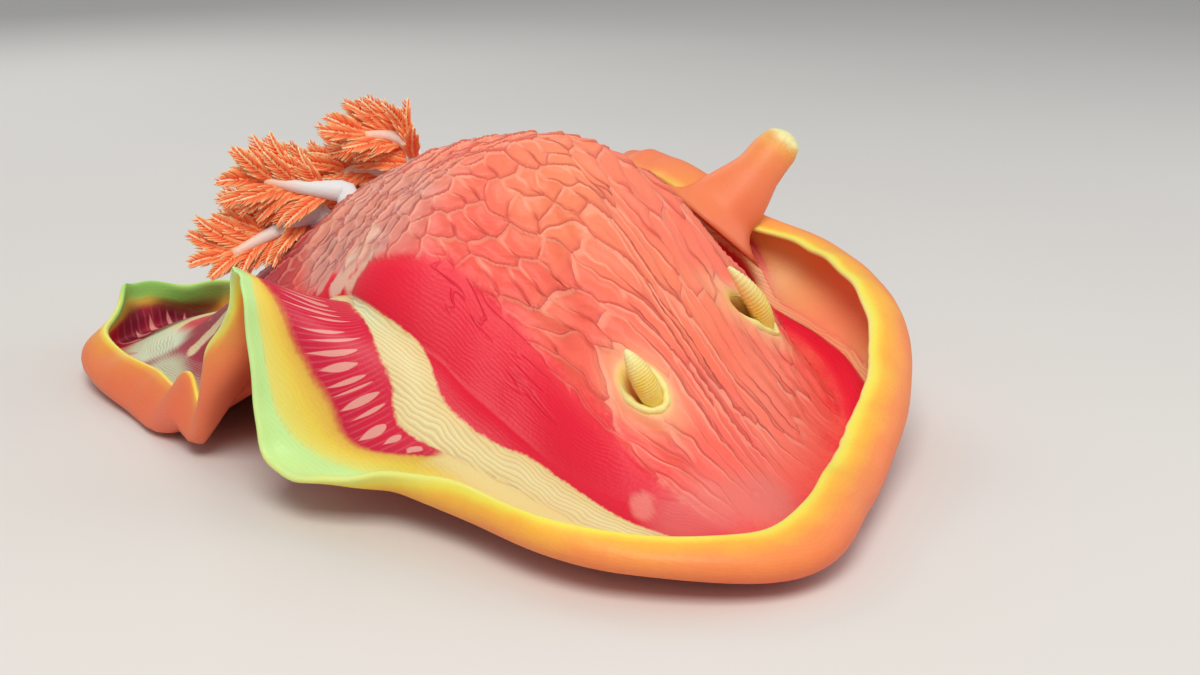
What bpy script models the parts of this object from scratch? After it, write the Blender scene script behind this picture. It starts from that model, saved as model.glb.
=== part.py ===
"""A spanish dancer, a large swimming and crawling sea slug, as a life-size still model.

The animal crawls towards -Y with its left side at +X and its sole on z = 0. The mantle is one
long hump whose skirt is thrown into waves: rolled up round the head, lifted to a peak on the
right, folded over with a blunt horn on the left and rolled at the tail. Angles run round the body
from the snout: 0 at -Y, 90 at +X, 180 at the tail and 270 at -X. Lengths in this script are
millimetres, turned into metres where a mesh is made.
"""
import math

import bmesh
import bpy
import numpy as np
from mathutils import Vector

MM = 0.001
GAP = 0.3                    # between two pieces that touch
END_GAP = 0.45               # between two stretches of skirt
SUMMIT = (12.0, -18.0, 85.0)  # highest point of the back
BACK_RINGS = 8               # rings of faces from the summit to the foot of the hump
SKIRT_RINGS = 8              # rings of faces across the skirt
ROOT_THICK = 5.0             # skirt where it leaves the body
EDGE_THICK = 1.9             # skirt at its margin
FLOOR_CLEAR = 0.9            # lowest that the skirt hangs over the floor
MIDDLE = (9.3, 6.4, 0.0)     # middle of the whole animal on the floor, set on the origin
HEAD_CUT = -58.0             # y of the cut between head and back
REAR_CUT = 34.0              # y of the cut between back and rear
FOOT_TOP = 7.0               # height of the cut between foot and body
ARCH_IN = 12.0               # how far the groove under the skirt reaches in from its root
ARCH_UP = 10.0               # how far it reaches up
ARCH_LIMITS = (11.0, 21.0)   # lowest and highest that its roof lies
SOCKET_OUT = 14.0            # how far a cut for a socket reaches out of the skin

# The skirt's section at places round the body: angle, then radius and height of the valley at
# its root, slope and pull of the section there, radius and height of the margin, slope and pull
# of the section there, and how far the margin is swept round from its root.
SKIRT = (
    (0, 113, 9, -15, 13, 115, 15, 175, 13, 0),       # snout: a roll that curls back over
    (12, 108, 10.5, -14, 13, 111, 18.5, 170, 14, 0),
    (24, 104, 14, -11, 15, 112, 26, 166, 16, 0),
    (36, 98, 18, -7, 20, 111, 35.5, 168, 20, 0),     # left of the head: the roll climbs
    (48, 90, 21, -1, 24, 105.5, 43.5, 172, 25, 0),
    (58, 79, 24, 4, 27, 97, 48.5, 184, 27, 0),         # pinch in front of the left lobe
    (65, 72, 26, 6, 26, 82, 53.5, 198, 25, 0),
    (72, 66, 27, 8, 28, 71, 63, 208, 26, 0),         # left lobe, folded in over the back
    (84, 61, 28, 10, 28, 63, 66, 210, 28, 0),
    (100, 60, 28, 7, 25, 66, 58, 203, 27, 0),
    (120, 62, 26, 0, 24, 78, 44, 190, 26, 0),
    (135, 71, 23, -3, 24, 94, 32, 165, 26, 0),       # left rear, sinking to the tail
    (150, 84, 20, -5, 24, 110, 22, 140, 26, 0),
    (170, 108, 14, -7, 24, 138, 14, 115, 24, 0),
    (184, 118, 12, -10, 24, 140, 19, 95, 24, 0),     # tail lip
    (198, 101, 12.5, -19, 24, 124, 14, 150, 24, 0),
    (212, 76, 15, -30, 25, 94, 14, 139, 26, 0),
    (220, 64, 18, -32, 26, 84, 13, 128, 26, 0),      # dip
    (227, 57, 24, -32, 26, 79, 21, 116, 26, 0),      # low hump of the margin
    (234, 51, 36, -30, 26, 76, 16, 107, 28, 0),      # dip
    (242, 47, 41, -18, 21, 73, 34, 100, 25, 0),
    (250, 43, 45, 6, 14, 71, 48, 66, 15, 1),
    (257, 41, 46, 20, 12, 71, 59, 36, 12, -3),       # peak of the right flap
    (267, 43, 46.5, 4, 12, 71, 59.5, 26, 12, -9),
    (278, 45, 45.5, -14, 12, 72, 52, 21, 12, -17),
    (290, 47, 42, -20, 13, 73, 32, 19, 12, -26),
    (302, 49, 37, -25, 14, 75.5, 16, 12, 12.5, -33),  # flap sinking forwards to the floor
    (310, 54, 31, -25, 16, 77, 14, 25, 12, -30),
    (318, 60, 25, -25, 16, 74, 16, 60, 13, -24),
    (326, 72, 18, -24, 16, 81, 17, 110, 14, -17),
    (335, 97, 12, -22, 16, 107, 13.5, 155, 14, -9),     # right of the snout: the roll again
    (346, 119, 9, -20, 15, 123, 13, 173, 13, -3),
)
# The hump's fall from summit to valley at places round the body: angle, shoulder and steepness.
HUMP = (
    (0, 1.5, 1.6), (45, 2.0, 1.1), (90, 2.4, 0.75), (135, 2.3, 1.05),
    (180, 2.1, 1.55), (225, 2.2, 1.15), (270, 2.4, 0.8), (315, 2.0, 1.15),
)
# The outline of the sole: angle and radius.
SOLE = ((0, 88), (30, 62), (60, 42), (90, 34), (120, 37), (150, 58), (180, 92),
        (205, 66), (235, 36), (270, 30), (300, 34), (330, 58))
# The blunt horn on the left lobe, a fold of the skirt: places along it and its radius there.
HORN = (((73, -32, 51), 12.5), ((78, -36, 58), 12.0), ((84.5, -41.5, 67), 8.6),
        ((89.5, -45.3, 74), 6.2), ((92.4, -47.3, 78.2), 3.0))

# Sharp folds, where the skirt is thinner: angle, spread and how much of the thickness goes.
FOLDS = ((66, 10, 0.3), (261, 20, 0.68))

# Stretches of skirt that a person would tell apart: name, first and last angle, colour.
SKIRT_PARTS = (
    ("mantle_front_roll", -30, 30, (0.95, 0.47, 0.10)),
    ("mantle_left_front", 30, 58, (0.93, 0.42, 0.12)),
    ("mantle_left_lobe", 58, 108, (0.90, 0.25, 0.08)),
    ("mantle_left_rear", 108, 160, (0.86, 0.22, 0.08)),
    ("mantle_tail", 160, 207, (0.85, 0.65, 0.20)),
    ("mantle_right_rear", 207, 244, (0.78, 0.10, 0.05)),
    ("mantle_right_flap", 244, 306, (0.80, 0.05, 0.09)),
    ("mantle_right_front", 306, 330, (0.93, 0.55, 0.15)),
)
CORAL = (0.90, 0.16, 0.10)
YELLOW = (0.93, 0.75, 0.22)
GILL_ORANGE = (0.93, 0.30, 0.09)

# Rhinophores, the two horns that smell the water: place on the head, lean and length.
RHINOPHORES = {
    "L": {"at": (38.5, -73.3), "lean": (-12.5, 5.9, 15.4), "length": 20.0},
    "R": {"at": (-22.4, -78.2), "lean": (-3.2, 4.1, 8.8), "length": 11.0},
}
CLUB_RADIUS = 2.7
CLUB_RIDGES = 6
CLUB_ELBOW = 4.5             # height over the head at which the club bends into its lean
SHEATH_RADIUS = 5.4
SHEATH_WALL = 1.5
SHEATH_SUNK = 5.0
SHEATH_RISE = 2.4

# Gill plumes: place on the rear of the back, then the middle and the tip of the rachis.
PLUMES = (
    ((2, 62), (-11, 66, 52), (-26.5, 70.5, 46.5)),
    ((4, 52), (-5, 61, 64), (-15, 68, 67)),
    ((23, 43), (27, 49.5, 73.5), (14.5, 55, 77.5)),
    ((27, 51), (21, 58, 66), (9, 63, 63)),
    ((24, 62), (16.5, 74, 61.5), (4.5, 85, 62.5)),
    ((13, 67), (1, 75.5, 53.5), (-12.5, 80, 49)),
)
PLUME_ROOT = 3.0             # radius of a rachis at its root
PLUME_TIP = 0.8
FAN_FACING = Vector((-0.72, -0.60, 0.35))  # the fans face ahead and to the right
STREAM = Vector((-0.60, 0.80, 0.05))       # and their leaves stream back to the right
# What a leaf's direction is made of: along the rachis, with the stream, apart, out of the fan.
LEAF_AIM = {"ahead": 0.45, "stream": 0.6, "apart": 0.62, "deep": 0.16}
APART_LOSS = 0.2             # how much less the leaves part towards the tip
PLUME_KNEE = 4.0             # height over the back at which it bends away
PLUME_SUNK = 5.0             # how far the root goes into the back
LEAVES = 7                   # side branches of one plume, each a leaf of filaments
FIRST_LEAF = 0.26            # place along the rachis where they begin
LEAF_LONG = 16.5
LEAF_WIDE = 2.3              # half the width of a leaf
BARB_LONG = 0.42             # its length for a leaf of length 1
BARB = 0.45                  # place along a leaf of the filament standing out on each side

TENTACLE = {"root": (7.0, -85.0, 11.5), "bend": (16.0, -99.0, 8.5), "tip": (29.0, -95.0, 6.5)}
TENTACLE_RADIUS = 3.6
LIP = {"root": (2.0, -84.0, 11.5), "front": (2.1, -96.5, 9.8), "radius": 2.4}


def ring(angle, stations, column):
    """A value at any angle: a smooth periodic curve through the stations' values."""
    known = np.array([s[0] for s in stations], float)
    value = np.array([s[column] for s in stations], float)
    known = np.concatenate([known[-2:] - 360, known, known[:2] + 360])
    value = np.concatenate([value[-2:], value, value[:2]])
    angle = np.mod(angle, 360.0)
    i = np.clip(np.searchsorted(known, angle, side="right") - 1, 1, len(known) - 3)
    step = known[i + 1] - known[i]
    t = (angle - known[i]) / step
    before = (value[i + 1] - value[i - 1]) / (known[i + 1] - known[i - 1]) * step
    after = (value[i + 2] - value[i]) / (known[i + 2] - known[i]) * step
    return ((2 * t**3 - 3 * t**2 + 1) * value[i] + (t**3 - 2 * t**2 + t) * before
            + (3 * t**2 - 2 * t**3) * value[i + 1] + (t**3 - t**2) * after)


def round_body(angle, radius, height):
    """The point at an angle, a radius and a height round the body."""
    turn = np.radians(angle)
    return np.stack([radius * np.sin(turn), -radius * np.cos(turn), height + 0 * turn], -1)


def back(out, angle):
    """The hump: out runs from 0 at the summit to 1 in the valley at the skirt's root."""
    valley = round_body(angle, ring(angle, SKIRT, 1), ring(angle, SKIRT, 2))
    summit = np.array(SUMMIT)
    point = summit + (valley - summit) * np.asarray(out)[..., None]
    fall = np.clip(1 - out ** ring(angle, HUMP, 1), 0, 1) ** ring(angle, HUMP, 2)
    point[..., 2] = valley[..., 2] + (summit[2] - valley[..., 2]) * fall
    return point


def skirt_top(across, angle):
    """The skirt's upper face: across runs from 0 at its root to 1 at its margin."""
    root_r, root_z, root_slope, root_pull, edge_r, edge_z, edge_slope, edge_pull, sweep = (
        ring(angle, SKIRT, column) for column in range(1, 10))
    root_slope = np.radians(root_slope)
    edge_slope = np.radians(edge_slope)
    t = across
    weights = ((1 - t)**3, 3 * (1 - t)**2 * t, 3 * (1 - t) * t * t, t**3)
    radii = (root_r, root_r + root_pull * np.cos(root_slope),
             edge_r - edge_pull * np.cos(edge_slope), edge_r)
    heights = (root_z, root_z + root_pull * np.sin(root_slope),
               edge_z - edge_pull * np.sin(edge_slope), edge_z)
    radius = sum(w * r for w, r in zip(weights, radii))
    height = sum(w * h for w, h in zip(weights, heights))
    return round_body(angle + sweep * (3 * t * t - 2 * t**3), radius, height)


def skirt_ways(across, angle):
    """How the upper face runs outwards, for a unit of across, and round the body, for a degree."""
    small = 1e-3
    outward = skirt_top(across + small, angle) - skirt_top(across - small, angle)
    return outward / (2 * small), skirt_top(across, angle + 0.5) - skirt_top(across, angle - 0.5)


def distance_per(way, other):
    """How far one unit of a way moves away from the line of the other way."""
    return np.linalg.norm(np.cross(way, other), axis=-1) / np.linalg.norm(other, axis=-1)


def skirt_under(across, angle):
    """The skirt's lower face, its thickness away from the upper one and clear of the floor."""
    outward, round_way = skirt_ways(across, angle)
    normal = np.cross(outward, round_way)
    normal /= np.linalg.norm(normal, axis=-1, keepdims=True)
    thick = EDGE_THICK + (ROOT_THICK - EDGE_THICK) * (1 - across)**1.2
    for centre, wide, less in FOLDS:
        thick = thick * (1 - less * np.exp(-((angle - centre) / wide)**2))
    point = skirt_top(across, angle) - normal * thick[..., None]
    # A soft floor: what would reach lower is laid along it.
    low = point[..., 2] - FLOOR_CLEAR
    point[..., 2] = FLOOR_CLEAR + (low + np.sqrt(low**2 + 2.0)) / 2
    return point


def angles_between(first, last):
    """Angles of the columns of faces from first to last: closer where the skirt is folded."""
    marks = [float(first)]
    while marks[-1] < last - 1e-6:
        here = marks[-1] % 360
        step = 2.5 if 56 <= here < 76 or 215 <= here < 262 else 5.0
        marks.append(min(marks[-1] + step, float(last)))
    return marks


def all_angles():
    """Every column of faces once round the body, with the skirt parts' limits among them."""
    marks = []
    for _, first, last, _ in SKIRT_PARTS:
        marks += angles_between(first, last)[:-1]
    return np.array(marks)


def paint(obj, colour, roughness=0.45):
    """Give the object a plain material of its own."""
    material = bpy.data.materials.new(obj.name)
    material.use_nodes = True
    shader = material.node_tree.nodes["Principled BSDF"]
    shader.inputs["Base Color"].default_value = (*colour, 1)
    shader.inputs["Roughness"].default_value = roughness
    obj.data.materials.clear()
    obj.data.materials.append(material)
    return obj


def mesh_object(name, points, faces):
    """A mesh object from points in millimetres, with its faces turned outwards."""
    mesh = bpy.data.meshes.new(name)
    mesh.from_pydata([tuple(p * MM for p in point) for point in points], [], faces)
    work = bmesh.new()
    work.from_mesh(mesh)
    bmesh.ops.remove_doubles(work, verts=work.verts, dist=1e-3 * MM)
    bmesh.ops.triangulate(work, faces=work.faces, quad_method="FIXED")
    bmesh.ops.recalc_face_normals(work, faces=work.faces)
    work.to_mesh(mesh)
    work.free()
    mesh.shade_smooth()
    obj = bpy.data.objects.new(name, mesh)
    bpy.context.scene.collection.objects.link(obj)
    return obj


def grid_faces(columns, rows, start=0, closed=False):
    """Quads over a grid of points stored column by column."""
    faces = []
    for i in range(columns if closed else columns - 1):
        a = start + i * rows
        b = start + ((i + 1) % columns) * rows
        for j in range(rows - 1):
            faces.append((a + j, b + j, b + j + 1, a + j + 1))
    return faces


def make_core():
    """The body without its skirt and foot: the hump above, the groove and the belly below."""
    angles = all_angles()
    outs = np.linspace(0, 1, BACK_RINGS + 1)[1:]
    rings = [back(np.full_like(angles, out), angles) for out in outs]
    root = skirt_under(np.zeros_like(angles), angles)
    radius = np.hypot(root[:, 0], root[:, 1])
    rings.append(root)
    belly = ring(angles, SOLE, 1)
    arch_height = np.clip(root[:, 2] + ARCH_UP, *ARCH_LIMITS)
    arch_radius = np.maximum(radius - ARCH_IN, belly + 2.0)
    rings.append(round_body(angles, arch_radius, arch_height))
    rings.append(round_body(angles, belly, FOOT_TOP + GAP / 2))
    columns = np.stack(rings, 1)
    count, rows = columns.shape[:2]
    points = list(columns.reshape(-1, 3))
    faces = grid_faces(count, rows, closed=True)
    top = len(points)
    points.append(np.array(SUMMIT))
    bottom = len(points)
    points.append(np.array((0.0, 0.0, FOOT_TOP + GAP / 2)))
    for i in range(count):
        after = (i + 1) % count
        faces.append((top, i * rows, after * rows))
        faces.append((bottom, after * rows + rows - 1, i * rows + rows - 1))
    return mesh_object("core", points, faces)


def make_skirt_part(name, first, last, colour):
    """A stretch of skirt: upper and lower face, a root wall, a rounded margin and two ends."""
    marks = np.array(angles_between(first, last))
    start = GAP / distance_per(*skirt_ways(np.zeros_like(marks), marks))
    spread = np.linspace(0, 1, SKIRT_RINGS + 1)
    across = start[:, None] + (1 - start[:, None]) * spread[None, :]
    turn = np.repeat(marks[:, None], SKIRT_RINGS + 1, axis=1)
    # Both ends draw back by half the gap between neighbours.
    for column, side in ((0, 1), (-1, -1)):
        outward, round_way = skirt_ways(across[column], turn[column])
        turn[column] += side * END_GAP / 2 / distance_per(round_way, outward)
    top = skirt_top(across, turn)
    # The thickness is read at the part's limits, so that walls of neighbours stay parallel.
    limit_across = np.repeat(spread[None, :], len(marks), axis=0)
    limit_turn = np.repeat(marks[:, None], SKIRT_RINGS + 1, axis=1)
    under = top + skirt_under(limit_across, limit_turn) - skirt_top(limit_across, limit_turn)
    lip = (top[:, -1] + under[:, -1]) / 2
    lip += (top[:, -1] - top[:, -2]) * (EDGE_THICK * 0.4 / np.linalg.norm(
        top[:, -1] - top[:, -2], axis=-1))[:, None]
    columns = np.concatenate([top, lip[:, None], under[:, ::-1]], axis=1)
    count, rows = columns.shape[:2]
    faces = grid_faces(count, rows)
    for i in range(count - 1):
        faces.append((i * rows, i * rows + rows - 1, (i + 1) * rows + rows - 1, (i + 1) * rows))
    for base, flip in ((0, False), ((count - 1) * rows, True)):
        for j in range(SKIRT_RINGS):
            quad = (base + j, base + j + 1, base + rows - 2 - j, base + rows - 1 - j)
            faces.append(quad[::-1] if flip else quad)
        tip = (base + SKIRT_RINGS, base + SKIRT_RINGS + 1, base + SKIRT_RINGS + 2)
        faces.append(tip[::-1] if flip else tip)
    return paint(mesh_object(name, columns.reshape(-1, 3), faces), colour)


def make_foot():
    """The foot: a flat sole on the floor, its edge drawn in a little under the belly."""
    angles = all_angles()[::2]
    belly = ring(angles, SOLE, 1)
    levels = ((belly - 2.5, 0.0), (belly - 0.5, 1.5), (belly, 4.0), (belly, FOOT_TOP - GAP / 2))
    columns = np.stack([round_body(angles, radius, level) for radius, level in levels], 1)
    count, rows = columns.shape[:2]
    points = list(columns.reshape(-1, 3))
    faces = grid_faces(count, rows, closed=True)
    for level, row in ((levels[0][1], 0), (levels[-1][1], rows - 1)):
        centre = len(points)
        points.append(np.array((0.0, 0.0, level)))
        faces += [(centre, i * rows + row, (i + 1) % count * rows + row) for i in range(count)]
    return paint(mesh_object("foot", points, faces), (0.80, 0.20, 0.10))


def back_at(x, y):
    """The point of the hump over x, y, and its outward normal."""
    angles = np.arange(0, 360, 0.25)
    valley = back(np.ones_like(angles), angles)
    bearing = np.arctan2(valley[:, 1] - SUMMIT[1], valley[:, 0] - SUMMIT[0])
    wanted = math.atan2(y - SUMMIT[1], x - SUMMIT[0])
    off = np.abs((bearing - wanted + np.pi) % (2 * np.pi) - np.pi)
    angle = angles[np.argmin(off)]
    reach = valley[np.argmin(off)]
    out = math.hypot(x - SUMMIT[0], y - SUMMIT[1]) / math.hypot(
        reach[0] - SUMMIT[0], reach[1] - SUMMIT[1])
    one = np.array([angle])
    here = back(np.array([out]), one)[0]
    along = back(np.array([out + 0.01]), one)[0] - here
    around = back(np.array([out]), one + 1.0)[0] - here
    normal = np.cross(along, around)
    normal /= np.linalg.norm(normal)
    if normal[2] < 0:
        normal = -normal
    return Vector(here), Vector(normal)


def bezier(a, b, c, t):
    """A point on the curve that leaves a towards b and comes to c."""
    return a * (1 - t)**2 + b * (2 * t * (1 - t)) + c * t**2


def sweep(name, spine, radii, sides, flat=1.0, face=None):
    """A closed body of round or flattened sections strung along a spine of points."""
    spine = [Vector(p) for p in spine]
    face = Vector(face) if face is not None else Vector((0.13, 0.21, 1.0))
    points = []
    for i, centre in enumerate(spine):
        run = (spine[min(i + 1, len(spine) - 1)] - spine[max(i - 1, 0)]).normalized()
        side = run.cross(face).normalized()
        thin = side.cross(run)
        for k in range(sides):
            turn = 2 * math.pi * k / sides
            points.append(centre + radii[i] * (math.cos(turn) * side
                                               + flat * math.sin(turn) * thin))
    faces = []
    for i in range(len(spine) - 1):
        for k in range(sides):
            after = (k + 1) % sides
            faces.append((i * sides + k, i * sides + after,
                          (i + 1) * sides + after, (i + 1) * sides + k))
    faces.append(tuple(range(sides))[::-1])
    last = (len(spine) - 1) * sides
    faces.append(tuple(last + k for k in range(sides)))
    return mesh_object(name, points, faces)


def turned(name, profile, at, axis, sides):
    """A body turned round an axis from a profile of radius and height pairs, closed at its ends."""
    turn = Vector((0, 0, 1)).rotation_difference(axis)
    points = []
    for radius, height in profile:
        for k in range(sides):
            angle = 2 * math.pi * k / sides
            ray = Vector((radius * math.cos(angle), radius * math.sin(angle), height))
            points.append(at + turn @ ray)
    faces = []
    for i in range(len(profile) - 1):
        for k in range(sides):
            after = (k + 1) % sides
            faces.append((i * sides + k, i * sides + after,
                          (i + 1) * sides + after, (i + 1) * sides + k))
    faces.append(tuple(range(sides))[::-1])
    last = (len(profile) - 1) * sides
    faces.append(tuple(last + k for k in range(sides)))
    return mesh_object(name, points, faces)


def apply_boolean(obj, operation, others, solver="EXACT"):
    """Join or cut with a collection of closed objects, apply it and remove them."""
    group = bpy.data.collections.new(obj.name + "_tools")
    bpy.context.scene.collection.children.link(group)
    for other in others:
        bpy.context.scene.collection.objects.unlink(other)
        group.objects.link(other)
    cut = obj.modifiers.new("boolean", "BOOLEAN")
    cut.operation = operation
    cut.operand_type = "COLLECTION"
    cut.collection = group
    cut.solver = solver
    settled = obj.evaluated_get(bpy.context.evaluated_depsgraph_get())
    mesh = bpy.data.meshes.new_from_object(settled)
    obj.modifiers.clear()
    obj.data = mesh
    for other in list(group.objects):
        bpy.data.objects.remove(other)
    bpy.data.collections.remove(group)
    return keep_largest(obj)


def keep_largest(obj):
    """Keep the largest closed surface of the object, in triangles."""
    work = bmesh.new()
    work.from_mesh(obj.data)
    bmesh.ops.triangulate(work, faces=work.faces)
    left = set(work.faces)
    shells = []
    while left:
        shell = {left.pop()}
        fringe = list(shell)
        while fringe:
            for edge in fringe.pop().edges:
                for face in edge.link_faces:
                    if face in left:
                        left.discard(face)
                        shell.add(face)
                        fringe.append(face)
        shells.append(shell)
    largest = max(shells, key=lambda shell: sum(face.calc_area() for face in shell))
    drop = [face for face in work.faces if face not in largest]
    bmesh.ops.delete(work, geom=drop, context="FACES")
    work.to_mesh(obj.data)
    work.free()
    return obj


def slab(name, low, high):
    """A wide box from y = low to y = high, to cut the body with."""
    bpy.ops.mesh.primitive_cube_add(size=1)
    box = bpy.context.object
    box.name = name
    box.dimensions = (0.4, (high - low) * MM, 0.4)
    box.location = (0, (low + high) / 2 * MM, 0.05)
    bpy.ops.object.transform_apply(location=True, rotation=False, scale=True)
    for group in box.users_collection:
        group.objects.unlink(box)
    bpy.context.scene.collection.objects.link(box)
    return box


def part_core(core):
    """Part the body into head, back and rear with thin cuts across it."""
    pieces = []
    far = 250.0
    limits = (("head", -far, HEAD_CUT), ("back", HEAD_CUT, REAR_CUT), ("rear_back", REAR_CUT, far))
    for name, low, high in limits:
        piece = bpy.data.objects.new(name, core.data.copy())
        bpy.context.scene.collection.objects.link(piece)
        keep = slab(name + "_keep", low + (GAP / 2 if low > -far else 0),
                    high - (GAP / 2 if high < far else 0))
        apply_boolean(piece, "INTERSECT", [keep], "MANIFOLD")
        pieces.append(paint(piece, CORAL))
    bpy.data.objects.remove(core)
    return pieces


def make_rhinophore(side, head):
    """A ringed club leaning out of the cup of its sheath, which is let into the head."""
    make = RHINOPHORES[side]
    place, normal = back_at(*make["at"])
    lean = Vector(make["lean"]).normalized()
    axis = (normal + lean).normalized()
    deep = SHEATH_SUNK
    rim = SHEATH_RISE
    inside = SHEATH_RADIUS - SHEATH_WALL
    cup = ((SHEATH_RADIUS - 0.6, -deep), (SHEATH_RADIUS, -deep + 0.6),
           (SHEATH_RADIUS, rim - 1.0), (SHEATH_RADIUS - SHEATH_WALL / 2, rim),
           (inside, rim - 1.0), (inside, -deep + 1.5))
    sheath = paint(turned("rhinophore_sheath_" + side, cup, place, axis, 14), YELLOW)
    wider = SHEATH_RADIUS + GAP
    hole = ((wider, -deep - GAP), (wider, SOCKET_OUT))
    apply_boolean(head, "DIFFERENCE", [turned("socket_" + side, hole, place, axis, 20)])
    root = place + axis * (-deep + 1.5 + 2 * GAP)
    elbow = place + axis * CLUB_ELBOW
    tip = elbow + lean * make["length"]
    rows = 2 * CLUB_RIDGES + 3
    spine, radii = [], []
    for i in range(rows):
        t = i / (rows - 1)
        spine.append(bezier(root, elbow + axis * 1.5, tip, t))
        swell = 0.75 + 0.38 * math.sin(math.pi * t**0.9) - 0.4 * t**6
        ridge = 0.07 * math.cos(math.pi * i) * (0.3 < t < 0.95)
        radii.append(CLUB_RADIUS * (swell + ridge))
    return sheath, paint(sweep("rhinophore_" + side, spine, radii, 8), YELLOW)


def make_plume(number, place, middle, tip, rear):
    """One gill: a curved rachis with side branches in two rows, each with its filaments."""
    root, normal = back_at(*place)
    middle, tip = Vector(middle), Vector(tip)
    start = root - normal * PLUME_SUNK
    knee = root + normal * PLUME_KNEE
    bow = middle * 2 - (knee + tip) / 2
    steps = 5
    path = [start] + [bezier(knee, bow, tip, t / steps) for t in range(steps + 1)]
    radii = [PLUME_ROOT] + [PLUME_ROOT + (PLUME_TIP - PLUME_ROOT) * (t / steps)**0.7
                            for t in range(steps + 1)]
    rachis = sweep("gill_%d" % number, path, radii, 6)
    hole = PLUME_ROOT + 2 * GAP
    path_out = [start - normal * GAP, root, root + normal * SOCKET_OUT]
    socket = sweep("socket", path_out, [hole] * 3, 14)
    apply_boolean(rear, "DIFFERENCE", [socket])
    twigs = []
    for leaf in range(LEAVES):
        t = FIRST_LEAF + (1 - FIRST_LEAF) * leaf / (LEAVES - 1)
        side = 1 if leaf % 2 else -1
        foot = bezier(knee, bow, tip, t)
        ahead = (bezier(knee, bow, tip, t + 0.02) - foot).normalized()
        spread = ahead.cross(FAN_FACING).normalized()
        apart = 0.0 if leaf == LEAVES - 1 else LEAF_AIM["apart"] - APART_LOSS * t
        deep = LEAF_AIM["deep"] * (1 if leaf // 2 % 2 else -1)
        aim = (ahead * LEAF_AIM["ahead"] + STREAM * LEAF_AIM["stream"]
               + spread * side * apart + FAN_FACING * deep).normalized()
        long = LEAF_LONG * (0.62 + 0.38 * math.sin(math.pi * (0.25 + 0.6 * t)))
        end = foot + aim * long
        bend = foot + aim * long * 0.5 + FAN_FACING * 1.5
        line = [bezier(foot - aim * 0.6, bend, end, k / 4) for k in range(5)]
        wide = [LEAF_WIDE * part for part in (0.4, 0.9, 1.0, 0.7, 0.15)]
        twigs.append(sweep("twig", line, wide, 4, flat=0.3, face=FAN_FACING))
        across = aim.cross(FAN_FACING).normalized()
        stem = bezier(foot - aim * 0.6, bend, end, BARB)
        for hand in (1, -1):
            way = (aim + across * hand * 0.75).normalized()
            line = [stem, stem + way * long * BARB_LONG]
            twigs.append(sweep("filament", line, [0.9, 0.2], 3))
    apply_boolean(rachis, "UNION", twigs, "MANIFOLD")
    return paint(rachis, GILL_ORANGE)


def mirrored(place, sign):
    """A place on the animal's left, or its mirror image on the right."""
    return Vector((sign * place[0], place[1], place[2]))


def make_tentacle(side, sign, head):
    """A flat oral tentacle, spread beside the mouth under the roll of the mantle."""
    root, bend, tip = (mirrored(TENTACLE[key], sign) for key in ("root", "bend", "tip"))
    rows = 7
    spine = [bezier(root, bend, tip, i / (rows - 1)) for i in range(rows)]
    radii = [TENTACLE_RADIUS * part for part in (0.7, 0.75, 0.9, 1.1, 1.2, 1.0, 0.5)]
    tentacle = sweep("oral_tentacle_" + side, spine, radii, 8, flat=0.4)
    wider = [radius + 2 * GAP for radius in radii]
    behind = spine[0] * 2 - spine[1]
    short = [spine[0] + (behind - spine[0]).normalized() * GAP] + spine[1:]
    apply_boolean(head, "DIFFERENCE", [sweep("socket", short, wider, 8, flat=0.5)])
    return paint(tentacle, (0.88, 0.35, 0.18))


def add_lips(head):
    """Two soft lips with the upright line of the mouth between them, grown from the head."""
    lips = []
    for sign in (1, -1):
        root, front = mirrored(LIP["root"], sign), mirrored(LIP["front"], sign)
        spine = [root.lerp(front, i / 4) for i in range(5)]
        radii = [LIP["radius"] * part for part in (0.9, 1.0, 1.0, 0.9, 0.5)]
        lips.append(sweep("lip", spine, radii, 8))
    apply_boolean(head, "UNION", lips)


def build():
    """Make every piece of the animal."""
    for obj in list(bpy.data.objects):
        bpy.data.objects.remove(obj)
    core = make_core()
    head, _, rear = part_core(core)
    make_foot()
    for part in SKIRT_PARTS:
        piece = make_skirt_part(*part)
        if part[0] == "mantle_left_lobe":
            places, radii = zip(*HORN)
            apply_boolean(piece, "UNION", [sweep("horn", places, radii, 12, flat=0.7)])
    add_lips(head)
    for side, sign in (("L", 1), ("R", -1)):
        make_rhinophore(side, head)
        make_tentacle(side, sign, head)
    for number, (place, middle, tip) in enumerate(PLUMES, start=1):
        make_plume(number, place, middle, tip, rear)
    model = bpy.data.collections.new("spanish_dancer")
    bpy.context.scene.collection.children.link(model)
    for obj in list(bpy.context.scene.collection.objects):
        bpy.context.scene.collection.objects.unlink(obj)
        model.objects.link(obj)
        obj.location = -Vector(MIDDLE) * MM


build()
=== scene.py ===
# %% [markdown]
# # A spanish dancer, life size
#
# A large sea slug crawls with its back humped and its mantle skirt thrown into waves. This script
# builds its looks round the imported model: one seamless skin, ringed rhinophores in their pockets,
# six feathery gill plumes, the mouth's lips and tentacles, a pale floor, soft light and a camera.
#
# The shape functions work in millimetres round the animal's middle, as a sculptor would measure
# it. Angles run round the body from the snout: 0 at -Y, 90 at +X (the animal's left), 180 at the
# tail, 270 at -X. Meshes are made in metres.

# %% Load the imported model
import math
from functools import partial

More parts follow.
